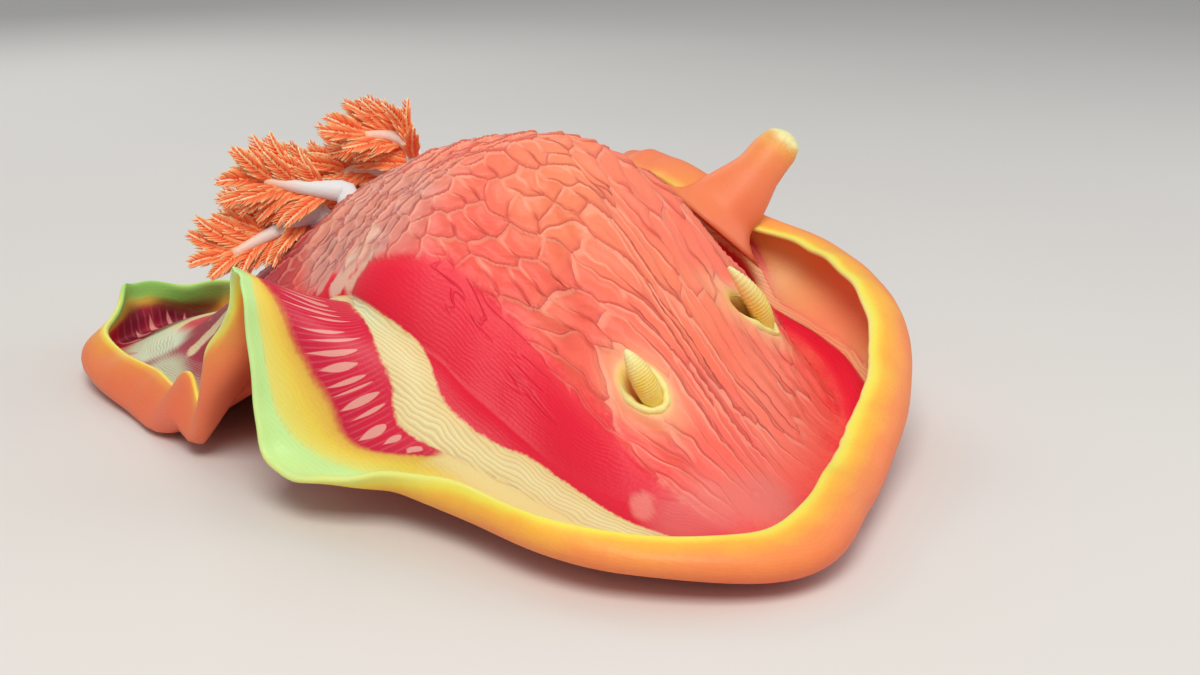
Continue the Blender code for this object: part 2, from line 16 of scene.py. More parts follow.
import bpy
import numpy as np
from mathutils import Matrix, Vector


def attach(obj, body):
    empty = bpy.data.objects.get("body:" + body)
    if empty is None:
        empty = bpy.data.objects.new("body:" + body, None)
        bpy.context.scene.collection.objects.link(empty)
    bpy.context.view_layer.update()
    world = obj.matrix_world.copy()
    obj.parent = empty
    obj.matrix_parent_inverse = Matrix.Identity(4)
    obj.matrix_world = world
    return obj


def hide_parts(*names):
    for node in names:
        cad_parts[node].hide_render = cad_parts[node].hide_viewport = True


MM = 0.001
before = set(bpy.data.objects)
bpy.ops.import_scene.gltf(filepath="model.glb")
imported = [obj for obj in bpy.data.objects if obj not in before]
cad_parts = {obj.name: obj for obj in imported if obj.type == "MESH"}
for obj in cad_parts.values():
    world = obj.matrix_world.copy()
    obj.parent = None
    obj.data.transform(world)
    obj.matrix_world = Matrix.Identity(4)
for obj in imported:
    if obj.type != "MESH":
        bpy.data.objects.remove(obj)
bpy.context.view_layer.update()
rng = np.random.default_rng(7)

# %% [markdown]
# ## The big form
#
# The animal is a hump of muscle with a thin mantle skirt round it. It could be sculpted by eye,
# but then the skin and the solids would drift apart. So the same few stations that shape the
# solids shape the skin: a hump that falls from the summit to a valley, and a skirt whose section
# turns from a roll at the snout to a lifted flap on the right, a folded lobe on the left and a
# rolled lip at the tail. Smooth curves through the stations give every place between them.

# %% Stations of the body
MIDDLE = np.array((9.3, 6.4, 0.0))    # middle of the animal's outline, which is the origin
SUMMIT = np.array((12.0, -18.0, 85.0))
ROOT_THICK = 5.0
EDGE_THICK = 1.9
FLOOR_CLEAR = 0.9
FOOT_TOP = 7.0
ARCH_IN = 12.0
ARCH_UP = 10.0
ARCH_LIMITS = (11.0, 21.0)
# Angle, then radius and height of the valley at the skirt's root, slope and pull of the section
# there, radius and height of the margin, slope and pull there, and the margin's sweep round.
SKIRT = (
    (0, 113, 9, -15, 13, 115, 15, 175, 13, 0),
    (12, 108, 10.5, -14, 13, 111, 18.5, 170, 14, 0),
    (24, 104, 14, -11, 15, 112, 26, 166, 16, 0),
    (36, 98, 18, -7, 20, 111, 35.5, 168, 20, 0),
    (48, 90, 21, -1, 24, 105.5, 43.5, 172, 25, 0),
    (58, 79, 24, 4, 27, 97, 48.5, 184, 27, 0),
    (65, 72, 26, 6, 26, 82, 53.5, 198, 25, 0),
    (72, 66, 27, 8, 28, 71, 63, 208, 26, 0),
    (84, 61, 28, 10, 28, 63, 66, 210, 28, 0),
    (100, 60, 28, 7, 25, 66, 58, 203, 27, 0),
    (120, 62, 26, 0, 24, 78, 44, 190, 26, 0),
    (135, 71, 23, -3, 24, 94, 32, 165, 26, 0),
    (150, 84, 20, -5, 24, 110, 22, 140, 26, 0),
    (170, 108, 14, -7, 24, 138, 14, 115, 24, 0),
    (184, 118, 12, -10, 24, 140, 19, 95, 24, 0),
    (198, 101, 12.5, -19, 24, 124, 14, 150, 24, 0),
    (212, 76, 15, -30, 25, 94, 14, 139, 26, 0),
    (220, 64, 18, -32, 26, 84, 13, 128, 26, 0),
    (227, 57, 24, -32, 26, 79, 21, 116, 26, 0),
    (234, 51, 36, -30, 26, 76, 16, 107, 28, 0),
    (242, 47, 41, -18, 21, 73, 34, 100, 25, 0),
    (250, 43, 45, 6, 14, 71, 48, 66, 15, 1),
    (257, 41, 46, 20, 12, 71, 59, 36, 12, -3),
    (267, 43, 46.5, 4, 12, 71, 59.5, 26, 12, -9),
    (278, 45, 45.5, -14, 12, 72, 52, 21, 12, -17),
    (290, 47, 42, -20, 13, 73, 32, 19, 12, -26),
    (302, 49, 37, -25, 14, 75.5, 16, 12, 12.5, -33),
    (310, 54, 31, -25, 16, 77, 14, 25, 12, -30),
    (318, 60, 25, -25, 16, 74, 16, 60, 13, -24),
    (326, 72, 18, -24, 16, 81, 17, 110, 14, -17),
    (335, 97, 12, -22, 16, 107, 13.5, 155, 14, -9),
    (346, 119, 9, -20, 15, 123, 13, 173, 13, -3),
)
# Angle, then how steeply the hump falls there: two powers of its profile.
HUMP = (
    (0, 1.5, 1.6), (45, 2.0, 1.1), (90, 2.4, 0.75), (135, 2.3, 1.05),
    (180, 2.1, 1.55), (225, 2.2, 1.15), (270, 2.4, 0.8), (315, 2.0, 1.15),
)
# Angle and half width of the sole.
SOLE = ((0, 88), (30, 62), (60, 42), (90, 34), (120, 37), (150, 58), (180, 92),
        (205, 66), (235, 36), (270, 30), (300, 34), (330, 58))
# Where the skirt is folded tight: angle, half width and the share of its thickness that it loses.
FOLDS = ((66, 10, 0.3), (261, 20, 0.68))
# The blunt horn on the left lobe: places along it, and the dressed horn's radius there.
HORN = (((73, -32, 51), 12.5), ((78, -36, 58), 10.6), ((84.5, -41.5, 67), 7.6),
        ((89.5, -45.3, 74), 6.4), ((92.4, -47.3, 78.2), 5.8))
print(len(SKIRT), "stations of the skirt, the summit at", SUMMIT - MIDDLE, "mm")


# %% Soft steps, curves and noise
def smooth(low, high, value):
    """0 below low, 1 above high, and an even rise between."""
    t = np.clip((value - low) / (high - low), 0, 1)
    return t * t * (3 - 2 * t)


def between(value, starts, full, fades, gone):
    """1 along a stretch, with a soft start and a soft end."""
    return smooth(starts, full, value) * (1 - smooth(fades, gone, value))


def near(value, middle, wide):
    """A soft bump round a middle value."""
    return np.exp(-((value - middle) / wide)**2)


def bezier(a, b, c, t):
    """A point on the curve that leaves a towards b and comes to c."""
    return a * (1 - t)**2 + b * (2 * t * (1 - t)) + c * t**2


def soft_noise(points, size, seed):
    """A smooth random value between -1 and 1 over points, that changes over the given size."""
    table = np.random.default_rng(seed).uniform(-1, 1, (16, 16, 16))
    at = np.asarray(points, float) / size
    cell = np.floor(at).astype(int)
    t = at - cell
    t = t * t * (3 - 2 * t)
    total = 0.0
    for corner in range(8):
        bit = np.array((corner & 1, corner >> 1 & 1, corner >> 2 & 1))
        i = (cell + bit) % 16
        weight = np.where(bit, t, 1 - t).prod(-1)
        total = total + weight * table[i[..., 0], i[..., 1], i[..., 2]]
    return total


def unit(vector):
    """Vectors at length one."""
    vector = np.asarray(vector, float)
    return vector / np.linalg.norm(vector, axis=-1, keepdims=True)


print("half way up a soft step lies", float(smooth(0, 1, 0.5)))


# %% Curves through the stations
def hermite(first, last, leave, arrive, t):
    """A smooth cubic between two values, with the slopes by which it leaves and arrives."""
    return ((2 * t**3 - 3 * t**2 + 1) * first + (t**3 - 2 * t**2 + t) * leave
            + (3 * t**2 - 2 * t**3) * last + (t**3 - t**2) * arrive)


def ring(angle, stations, column):
    """A value at any angle: a smooth periodic curve through the stations' values."""
    known = np.array([s[0] for s in stations], float)
    value = np.array([s[column] for s in stations], float)
    known = np.concatenate([known[-2:] - 360, known, known[:2] + 360])
    value = np.concatenate([value[-2:], value, value[:2]])
    angle = np.mod(angle, 360.0)
    i = np.clip(np.searchsorted(known, angle, side="right") - 1, 1, len(known) - 3)
    step = known[i + 1] - known[i]
    before = (value[i + 1] - value[i - 1]) / (known[i + 1] - known[i - 1]) * step
    after = (value[i + 2] - value[i]) / (known[i + 2] - known[i]) * step
    return hermite(value[i], value[i + 1], before, after, (angle - known[i]) / step)


def round_body(angle, radius, height):
    """The point at an angle, a radius and a height round the body."""
    turn = np.radians(angle)
    return np.stack([radius * np.sin(turn), -radius * np.cos(turn), height + 0 * turn], -1)


def back(out, angle):
    """The hump: out runs from 0 at the summit to 1 in the valley at the skirt's root."""
    valley = round_body(angle, ring(angle, SKIRT, 1), ring(angle, SKIRT, 2))
    point = SUMMIT + (valley - SUMMIT) * np.asarray(out)[..., None]
    fall = np.clip(1 - out ** ring(angle, HUMP, 1), 0, 1) ** ring(angle, HUMP, 2)
    point[..., 2] = valley[..., 2] + (SUMMIT[2] - valley[..., 2]) * fall
    return point


def skirt_top(across, angle):
    """The skirt's upper face: across runs from 0 at its root to 1 at its margin."""
    root_r, root_z, root_slope, root_pull, edge_r, edge_z, edge_slope, edge_pull, sweep = (
        ring(angle, SKIRT, column) for column in range(1, 10))
    root_slope = np.radians(root_slope)
    edge_slope = np.radians(edge_slope)
    t = across
    weights = ((1 - t)**3, 3 * (1 - t)**2 * t, 3 * (1 - t) * t * t, t**3)
    radii = (root_r, root_r + root_pull * np.cos(root_slope),
             edge_r - edge_pull * np.cos(edge_slope), edge_r)
    heights = (root_z, root_z + root_pull * np.sin(root_slope),
               edge_z - edge_pull * np.sin(edge_slope), edge_z)
    radius = sum(w * r for w, r in zip(weights, radii))
    height = sum(w * h for w, h in zip(weights, heights))
    return round_body(angle + sweep * (3 * t * t - 2 * t**3), radius, height)


def skirt_under(across, angle):
    """The skirt's lower face, its thickness away from the upper one and clear of the floor."""
    small = 1e-3
    outward = skirt_top(across + small, angle) - skirt_top(across - small, angle)
    round_way = skirt_top(across, angle + 0.5) - skirt_top(across, angle - 0.5)
    normal = unit(np.cross(outward, round_way))
    thick = EDGE_THICK + (ROOT_THICK - EDGE_THICK) * (1 - across)**1.2
    for centre, wide, less in FOLDS:
        thick = thick * (1 - less * near(angle, centre, wide))
    point = skirt_top(across, angle) - normal * thick[..., None]
    low = point[..., 2] - FLOOR_CLEAR
    point[..., 2] = FLOOR_CLEAR + (low + np.sqrt(low**2 + 2.0)) / 2
    return point


length = round(float(ring(0, SKIRT, 6) + ring(180, SKIRT, 6)))
print("the body is", length, "mm long between the margins of snout and tail")


# %% Places on the hump
def hump_height(x, y):
    """Height of the hump over places x, y, and of the valley beyond its foot."""
    angles = np.arange(0, 360, 0.5)
    rim = back(np.ones_like(angles), angles) - SUMMIT
    bearing = np.unwrap(np.arctan2(rim[:, 1], rim[:, 0]))
    dx, dy = x - SUMMIT[0], y - SUMMIT[1]
    wanted = bearing[0] + np.mod(np.arctan2(dy, dx) - bearing[0], math.tau)
    angle = np.interp(wanted, bearing, angles)
    out = np.hypot(dx, dy) / np.interp(wanted, bearing, np.hypot(rim[:, 0], rim[:, 1]))
    return back(np.clip(out, 0, 1), angle)[..., 2]


def back_at(x, y):
    """The point of the hump over x, y, and its outward normal."""
    near_by = hump_height(np.array((x, x + 0.5, x)), np.array((y, y, y + 0.5)))
    slope_x, slope_y = (near_by[1:] - near_by[0]) * 2
    return np.array((x, y, near_by[0])), unit((-slope_x, -slope_y, 1.0))


print("the back stands", round(float(back_at(0, 0)[0][2]), 1), "mm high over the body's middle")

# %% [markdown]
# ## Helpers
#
# A node tree could be drawn by hand, but a script can be read, changed and run again. One
# function adds a node of any kind with its settings and its links, and gives back one of its
# outputs, so that a tree reads like a list of steps. Another turns the hex colours that a painter
# would name into the linear values that a shader wants. Round forms are tubes: rings of points
# round a line of centres, closed at both ends.

# %% Helpers for colours and nodes
MATH = "ShaderNodeMath"
RANGE = "ShaderNodeMapRange"
MIX = "ShaderNodeMix"
ATTRIBUTE = "ShaderNodeAttribute"
NOISE = "ShaderNodeTexNoise"
VORONOI = "ShaderNodeTexVoronoi"
TIMES = {"operation": "MULTIPLY"}
TIMES_PLUS = {"operation": "MULTIPLY_ADD"}
MINUS = {"operation": "SUBTRACT"}
SOFTLY = {"interpolation_type": "SMOOTHSTEP"}
BLEND = {"out": 2, "data_type": "RGBA"}


def colour(code, alpha=1.0):
    """An sRGB hex colour as a linear RGBA value."""
    values = [int(code[i:i + 2], 16) / 255 for i in (1, 3, 5)]
    linear = [v / 12.92 if v <= 0.04045 else ((v + 0.055) / 1.055)**2.4 for v in values]
    return (*linear, alpha)


def per(size):
    """The scale of a pattern that repeats about once in a size in millimetres."""
    return 1 / (size * MM)


def add_node(tree, kind, inputs=None, out=0, **settings):
    """Add a node, set its properties, set or link its inputs, and give one output back."""
    node = tree.nodes.new(kind)
    for key, value in settings.items():
        setattr(node, key, value)
    for key, value in (inputs or {}).items():
        if isinstance(value, bpy.types.NodeSocket):
            tree.links.new(value, node.inputs[key])
        else:
            node.inputs[key].default_value = value
    return node if out is None else node.outputs[out]


print("a pattern of 5 mm has scale", per(5), "and a warm white is", colour("#FFF8F0")[:3])


# %% Helpers for materials
FLESH_SHINE = 0.35           # specular level of flesh under slime, below that of dry plastic


def new_material(name, **looks):
    """A flesh material with its shader's sockets set, and the function that adds its nodes.

    Light goes into flesh by the subsurface scale, in millimetres, and red goes furthest.
    """
    material = bpy.data.materials.new(name)
    material.use_nodes = True
    shader = material.node_tree.nodes["Principled BSDF"]
    looks["subsurface_scale"] *= MM
    for key, value in {"specular_ior_level": FLESH_SHINE, **looks}.items():
        socket = key.replace("_", " ").title().replace("Ior", "IOR")
        shader.inputs[socket].default_value = value
    return material, partial(add_node, material.node_tree)


def coat(material, shade, relief, depth, strength):
    """Link a material's colour, and a relief with a depth in millimetres, to its shader."""
    tree = material.node_tree
    shader = tree.nodes["Principled BSDF"]
    bump = add_node(tree, "ShaderNodeBump",
                    {"Height": relief, "Distance": depth * MM, "Strength": strength})
    tree.links.new(shade, shader.inputs["Base Color"])
    tree.links.new(bump, shader.inputs["Normal"])
    return material


print("flesh under slime has a specular level of", FLESH_SHINE)


# %% Helpers for meshes
def new_mesh(name, points, faces, material, values=None, vectors=None, paints=None):
    """A smooth mesh object from points in millimetres, with its named attributes."""
    mesh = bpy.data.meshes.new(name)
    place = (np.asarray(points, float) - MIDDLE) * MM
    mesh.from_pydata(place.tolist(), [], faces)
    kinds = (("FLOAT", "value", values), ("FLOAT_VECTOR", "vector", vectors),
             ("FLOAT_COLOR", "color", paints))
    for kind, field, given in kinds:
        for key, value in (given or {}).items():
            mesh.attributes.new(key, kind, "POINT").data.foreach_set(
                field, np.asarray(value, np.float32).ravel())
    mesh.shade_smooth()
    mesh.materials.append(material)
    obj = bpy.data.objects.new(name, mesh)
    bpy.context.scene.collection.objects.link(obj)
    return obj


def quads(runs, count, closed=True, rings=False, start=0):
    """Quads between runs of points. The runs may close round, and each may be a ring."""
    i = np.arange(runs if closed else runs - 1)[:, None]
    j = np.arange(count if rings else count - 1)[None, :]
    a, b = start + i * count, start + (i + 1) % runs * count
    after = (j + 1) % count
    return np.stack([a + j, b + j, b + after, a + after], -1).reshape(-1, 4).tolist()


def loft_faces(rows, sides, start=0):
    """Quads between rings of points and a closed cap at each end."""
    faces = [[a, d, c, b] for a, b, c, d in quads(rows, sides, False, True, start)]
    foot, tip = (list(range(first, first + sides)) for first in (start, start + (rows - 1) * sides))
    return faces + [foot[::-1], tip]


def tube(centres, radii, flat, face, sides, runs=None):
    """Rings of points round a line of centres, square to its run and flattened along the face.

    A radius is given for each ring, or for each point of each ring.
    """
    runs = unit(np.gradient(centres, axis=0)) if runs is None else runs
    side = unit(np.cross(runs, face))[:, None]
    thin = np.cross(side, runs[:, None])
    turn = (np.arange(sides) * math.tau / sides)[:, None]
    radii = np.reshape(radii, (len(centres), -1, 1))
    points = centres[:, None] + radii * (np.cos(turn) * side + flat * np.sin(turn) * thin)
    return points.reshape(-1, 3)


def hand_in(obj, slot, *nodes):
    """Let a finished piece ride the body and say which solids it replaces; its slot is not used."""
    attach(obj, "root")
    if nodes:
        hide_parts(*nodes)
    print(obj.name, len(obj.data.polygons), "faces for", ", ".join(nodes) or "no solid")


print("a tube with 6 rings of 8 points has", len(loft_faces(6, 8)), "faces")


# %% Helpers for geometry nodes
def new_tree(name, **inputs):
    """A geometry node tree with named inputs: itself, their keys, node function and outputs."""
    group = bpy.data.node_groups.new(name, "GeometryNodeTree")
    keys = {}
    for key, kind in {"Geometry": "Geometry", **inputs}.items():
        keys[key] = group.interface.new_socket(
            key, in_out="INPUT", socket_type="NodeSocket" + kind).identifier
    group.interface.new_socket("Geometry", in_out="OUTPUT", socket_type="NodeSocketGeometry")
    node = partial(add_node, group)
    return group, keys, node, node("NodeGroupInput", out=None).outputs


def end_tree(node, geometry, material):
    """Turn a tree's instances into plain faces, give them their material and put them out."""
    real = node("GeometryNodeRealizeInstances", {0: geometry})
    done = node("GeometryNodeSetMaterial", {0: real, "Material": material})
    node("NodeGroupOutput", {0: done}, None)


def grow(obj, group, keys, given):
    """Run a tree on an object with its inputs, and settle the result into the object's mesh."""
    modifier = obj.modifiers.new(group.name, "NODES")
    modifier.node_group = group
    for key, value in given.items():
        modifier[keys[key]] = value
    settled = obj.evaluated_get(bpy.context.evaluated_depsgraph_get())
    mesh = bpy.data.meshes.new_from_object(settled)
    obj.modifiers.clear()
    obj.data = mesh
    return obj


print("each tree ends with its instances turned into plain faces")

# %% [markdown]
# ## The skin
#
# The real skin has no seam anywhere, and pieces that only touch would show one. So it is one
# closed surface. A column of points runs from the summit down the hump, through the valley, out
# over the skirt, round its margin, back along its under face, into the groove, down the foot and
# to the middle of the sole. Each point remembers where on the animal it lies, and the colours
# are worked out from that. A way of 0 to 1 lies on the hump, 1 to 2 on the skirt, 2 to 3 below
# it, 3 to 4 in the groove and on the foot, and 4 to 5 on the sole.

# %% Rows of the skin
COLUMNS = 432
BACK_ROWS = 110
TOP_ROWS = 62
LIP_ROWS = 5
UNDER_ROWS = 28
GROOVE_ROWS = 10
SOLE_ROWS = 4
# The foot's rounded edge: how far in from its side and how high over the floor each row lies.
FOOT_EDGE = ((0.0, 4.0), (0.3, 2.4), (0.9, 1.1), (1.7, 0.3), (2.5, 0.0))
MARGIN_ROW = BACK_ROWS + TOP_ROWS - 1
ROOT_ROW = MARGIN_ROW + LIP_ROWS + UNDER_ROWS          # where the lower face meets the groove
FLOOR_ROW = ROOT_ROW + GROOVE_ROWS + len(FOOT_EDGE)    # where the foot meets the floor


def even_columns():
    """Angles of the columns, closer together where the margin is long."""
    fine = np.linspace(0, 360, 2881)
    length = np.zeros(len(fine))
    for across, weight in ((0.0, 0.5), (1.0, 1.0)):
        line = skirt_top(np.full_like(fine, across), fine)
        length[1:] += weight * np.cumsum(np.linalg.norm(np.diff(line, axis=0), axis=1))
    return np.interp(np.linspace(0, length[-1], COLUMNS + 1)[:-1], length, fine)


def skin_sections(angles):
    """The rows of the skin, and how far each lies on the way from summit to sole."""
    rows, ways = [], []
    for out in np.linspace(0, 1, BACK_ROWS + 1)[1:]:
        rows.append(back(np.full_like(angles, out), angles))
        ways.append(out)
    for across in np.linspace(0, 1, TOP_ROWS + 1)[1:]:
        rows.append(skirt_top(np.full_like(angles, across), angles))
        ways.append(1 + across)
    top, under = rows[-1], skirt_under(np.ones_like(angles), angles)
    ahead = unit(top - rows[-2])
    centre, half = (top + under) / 2, (top - under) / 2
    size = np.linalg.norm(half, axis=-1, keepdims=True)
    for k in range(1, LIP_ROWS):
        turn = math.pi * k / LIP_ROWS
        rows.append(centre + half * math.cos(turn) + ahead * size * math.sin(turn))
        ways.append(2.0)
    for across in np.linspace(1, 0, UNDER_ROWS + 1):
        rows.append(skirt_under(np.full_like(angles, across), angles))
        ways.append(3 - across)
    root = rows[-1]
    belly = ring(angles, SOLE, 1)
    radius = np.hypot(root[:, 0], root[:, 1])
    arch = round_body(angles, np.maximum(radius - ARCH_IN, belly + 2.0),
                      np.clip(root[:, 2] + ARCH_UP, *ARCH_LIMITS))
    foot = round_body(angles, belly, FOOT_TOP)
    for k in range(1, GROOVE_ROWS + 1):
        t = k / GROOVE_ROWS
        rows.append(bezier(root, arch * 1.3 - (root + foot) * 0.15, foot, t))
        ways.append(3 + 0.6 * t)
    for inward, height in FOOT_EDGE:
        rows.append(round_body(angles, belly - inward, height))
        ways.append(4 - height / 20)
    for k in range(1, SOLE_ROWS + 1):
        t = k / SOLE_ROWS
        rows.append(round_body(angles, (belly - FOOT_EDGE[-1][0]) * (1 - 0.96 * t), 0.0))
        ways.append(4 + t)
    return np.stack(rows, 1), np.array(ways)


def surface_normals(points):
    """Outward normals over a grid of points that is closed round its columns."""
    round_way = np.roll(points, -1, axis=0) - np.roll(points, 1, axis=0)
    normal = np.cross(np.gradient(points, axis=1), round_way)
    return normal / np.maximum(np.linalg.norm(normal, axis=-1, keepdims=True), 1e-9)


print(COLUMNS, "columns of", len(skin_sections(even_columns())[1]), "points each")

# %% [markdown]
# ## Waves of the margin
#
# The margin is never a plain edge. It is thrown into small waves, with lobes and a knob on the
# tail's lip, bumps on the lip of the left lobe, fine scallops at the snout and a small peak on
# the right flap. A displacement texture could do this, but it swells an edge instead of bending
# it. So the waves are added to the points, and both faces of the skirt move together.

# %% Waves of the margin
# Waves of the margin: height, how many go round, how much and how often their spacing wanders,
# and the angle and half width of the stretch that has them.
ALL_ROUND = 1e6
MARGIN_WAVES = (
    (0.35, 43, 1.3, 7, 180, ALL_ROUND),
    (2.0, 27, 0.9, 9, 184, 17),
    (0.9, 61, 1.0, 17, 88, 20),
)
# Small peaks of the margin: height, angle and half width.
MARGIN_PEAKS = {"knob on the tail's lip": (4.2, 186.5, 1.8), "peak of the flap": (2.4, 262.5, 1.1)}


def ruffle(points, normals, turn, way):
    """Small waves of the margin and broad ones of the skirt, in millimetres off its upper face.

    The lower face goes the way of the margin, so that the sheet bends and keeps its thickness.
    """
    edge = between(way, 1.80, 2.0, 2.05, 2.3)
    broad = between(way, 1.5, 2.0, 2.2, 2.8)
    rad = np.radians(turn)
    waves = 0.0
    for height, count, wander, often, angle, wide in MARGIN_WAVES:
        wave = height * np.sin(rad * count + wander * np.sin(rad * often))
        waves = waves + near(turn, angle, wide) * wave
    slow = 0.8 * np.sin(rad * 13 + 2 * np.sin(rad * 3)) * (1 - 0.75 * near(turn, 275, 35))
    normals = normals.copy()
    normals[:, MARGIN_ROW + 1:] = normals[:, MARGIN_ROW:MARGIN_ROW + 1]
    return points + normals * (edge * waves + broad * slow)[..., None]


def peaks(points, turn, way):
    """The knob on the tail's lip, its lobes and the small peak of the flap, pulled outwards."""
    outward = np.gradient(points, axis=1)
    outward = outward / np.maximum(np.linalg.norm(outward, axis=-1, keepdims=True), 1e-9)
    edge = smooth(1.86, 2.0, way) * (way <= 2.0)
    lobes = near(turn, 176, 14) * (1.2 + 1.2 * np.sin(np.radians(turn * 36)))
    pull = lobes + sum(high * near(turn, *place) for high, *place in MARGIN_PEAKS.values())
    pull = pull + 0.5 * soft_noise(points, 3.0, 5) * (near(turn, 85, 16) + near(turn, 0, 40))
    shift = outward * (edge * pull)[..., None]
    for row in range(1, 2 * LIP_ROWS):
        share = 1 - row / (2.0 * LIP_ROWS)
        shift[:, MARGIN_ROW + row] = shift[:, MARGIN_ROW] * share
    return points + shift


print("waves of the margin up to", max(wave[0] for wave in MARGIN_WAVES), "mm high, peaks up to",
      max(peak[0] for peak in MARGIN_PEAKS.values()), "mm")

# %% [markdown]
# ## Pockets
#
# Each rhinophore stands in an oval pocket into which it can be drawn. A hole would break the
# closed surface, so the skin is pressed in there, with a soft rise round it.

# %% Pockets of the rhinophores
# Where each club stands on the back, how it leans, its length and its pocket's half axes.
RHINOPHORES = {
    "L": {"at": (38.5, -73.3), "lean": (-12.5, 5.9, 15.4), "length": 20.0, "pit": (9.5, 3.7)},
    "R": {"at": (-22.4, -78.2), "lean": (-3.2, 4.1, 8.8), "length": 11.0, "pit": (7.2, 4.4)},
}
PIT_DEEP = 3.2
PIT_BEHIND = 3.4             # how far a pocket reaches behind its club


def pit_frame(side):
    """Middle of a rhinophore's oval pocket, its long and short half axes and the skin's normal."""
    make = RHINOPHORES[side]
    place, normal = back_at(*make["at"])
    lean = np.array(make["lean"])
    along = unit(lean - normal * lean.dot(normal))
    long, short = make["pit"]
    middle = place + along * (long - PIT_BEHIND)
    return middle, along * long, np.cross(normal, along) * short, normal


def pit_share(points, side):
    """How far from a pocket's middle points lie, where its rim is at 1."""
    middle, along, across, normal = pit_frame(side)
    away = points - middle
    share = np.hypot(away @ along / along.dot(along), away @ across / across.dot(across))
    return np.where(np.abs(away @ normal) < 12, share, 9.0)


def sink_pits(points, normals):
    """Press the pockets of the rhinophores into the skin, each with a soft rise round it."""
    for side in RHINOPHORES:
        share = pit_share(points, side)
        depth = -PIT_DEEP * (1 - smooth(0.45, 1.0, share)) + 0.9 * near(share, 1.25, 0.35)
        points = points + normals * depth[..., None]
    return points


print("pockets", [round(2 * make["pit"][0], 1) for make in RHINOPHORES.values()], "mm long")

# %% [markdown]
# ## Colour bands
#
# The coral back, the red flank, a cream band, a crimson band with pale dashes, the yellow and a
# pale edge run round the body side by side. A flat painting would slide on the waves of the
# mantle. So each band gets its width over the skin at a few angles, with an even passage between
# them, and every point learns from its way to the valley in which band it lies.

# %% Widths of the bands
# Angle, then millimetres over the skin: how far before the valley the coral stops, how far
# beyond it the red reaches, the widths of the cream band, the crimson band and the pale edge,
# and how far the yellow goes on below the margin.
BANDS = (
    (0, -1, 7, 3, 0, 2, 6),
    (25, -2, 10, 4, 0, 3, 6),
    (40, -5, 12, 3, 0, 3, 6),
    (57, -9, 15, 3, 0, 2, 5),
    (70, 0, 28, 5, 5, 3, 4),
    (90, 11, 26, 10, 12, 6, 4),
    (120, 14, 12, 12, 16, 4, 5),
    (150, 18, 4, 14, 18, 4, 6),
    (180, 30, 1, 13, 18, 4, 6),
    (205, 38, -2, 12, 24, 3, 4),
    (230, 22, 1, 8, 15, 2, 3),
    (248, 10, -1, 2, 28, 3, 5),
    (265, 13, -2, 2, 27, 3, 6),
    (280, 18, -2, 6, 21, 3, 7),
    (295, 23, -1, 13, 16, 5, 8),
    (305, 24, 7, 13, 12, 13, 8),
    (315, 26, 8, 9, 0, 13, 8),
    (325, 25, 4, 10, 0, 4, 6),
    (334, 20, 5, 9, 0, 2, 5),
    (344, 1, 7, 4, 0, 2, 6),
)


def band_place(reach, turn):
    """Where each point lies among the bands, from its way over the skin in millimetres.

    -2 summit, -1 end of the coral, 1 end of the red, 2 end of the cream, 3 end of the crimson
    band, 4 start of the pale edge, 5 margin, 6 end of the yellow below, 8 groove, 9 foot.
    """
    coral, red, cream, crimson, edge, below = (ring(turn, BANDS, n) for n in range(1, 7))
    start, margin, root, floor = (reach[:, row:row + 1]
                                  for row in (0, MARGIN_ROW, ROOT_ROW, FLOOR_ROW))
    red = np.maximum(red, 1 - coral)
    cream_end = red + np.maximum(cream, 0.2)
    crimson_end = np.minimum(cream_end + np.maximum(crimson, 0.1), margin - 2)
    edge_start = np.clip(margin - edge, crimson_end + 0.5, margin - 0.4)
    knots = (start, -coral, red, cream_end, crimson_end, edge_start, margin, margin + below,
             root, floor)
    values = (-2, -1, 1, 2, 3, 4, 5, 6, 8, 9)
    place = np.full_like(reach, -2.0)
    for low, high, first, last in zip(knots[:-1], knots[1:], values[:-1], values[1:]):
        place = place + (last - first) * np.clip((reach - low) / (high - low), 0, 1)
    return place


print("crimson band", max(row[4] for row in BANDS), "mm wide on the flap, cream band",
      max(row[3] for row in BANDS), "mm at its widest")

# %% [markdown]
# ## Pads and wrinkles
#
# The back is covered with soft pads like cobbles round the summit, which lengthen into tongues
# and then into long wavy wrinkles towards the head. Each overlaps the one behind it. Its raised
# rim is lightened as a painted highlight, and the skin under it is darkened as painted shade,
# darkest in a thin crease. The cells that draw them lie in a flat map of the back, stretched
# along the body, and the same cells lift the mesh and colour the skin.

# %% A flat map of the back
# How long and how wide one cell is, in millimetres, at places along the body.
PAD_LENGTH = ((-150, 34), (-90, 30), (-66, 22), (-44, 13), (-24, 8), (-8, 5), (30, 5),
              (50, 8), (80, 14), (150, 26))
PAD_WIDTH = ((-150, 3.8), (-90, 4.0), (-66, 4.3), (-44, 4.8), (-24, 5.2), (0, 5.6), (150, 5.6))
MAP_X, MAP_Y, MAP_STEP = 110, 150, 2     # half sizes of the map and its step along the body
# How far the cells stray across and along, in cells, each over a size in millimetres.
STRAY_ACROSS = ((0.45, 21, 11), (0.24, 8, 12), (0.15, 3.2, 15))
STRAY_ALONG = ((0.30, 15, 13), (0.16, 5, 14))


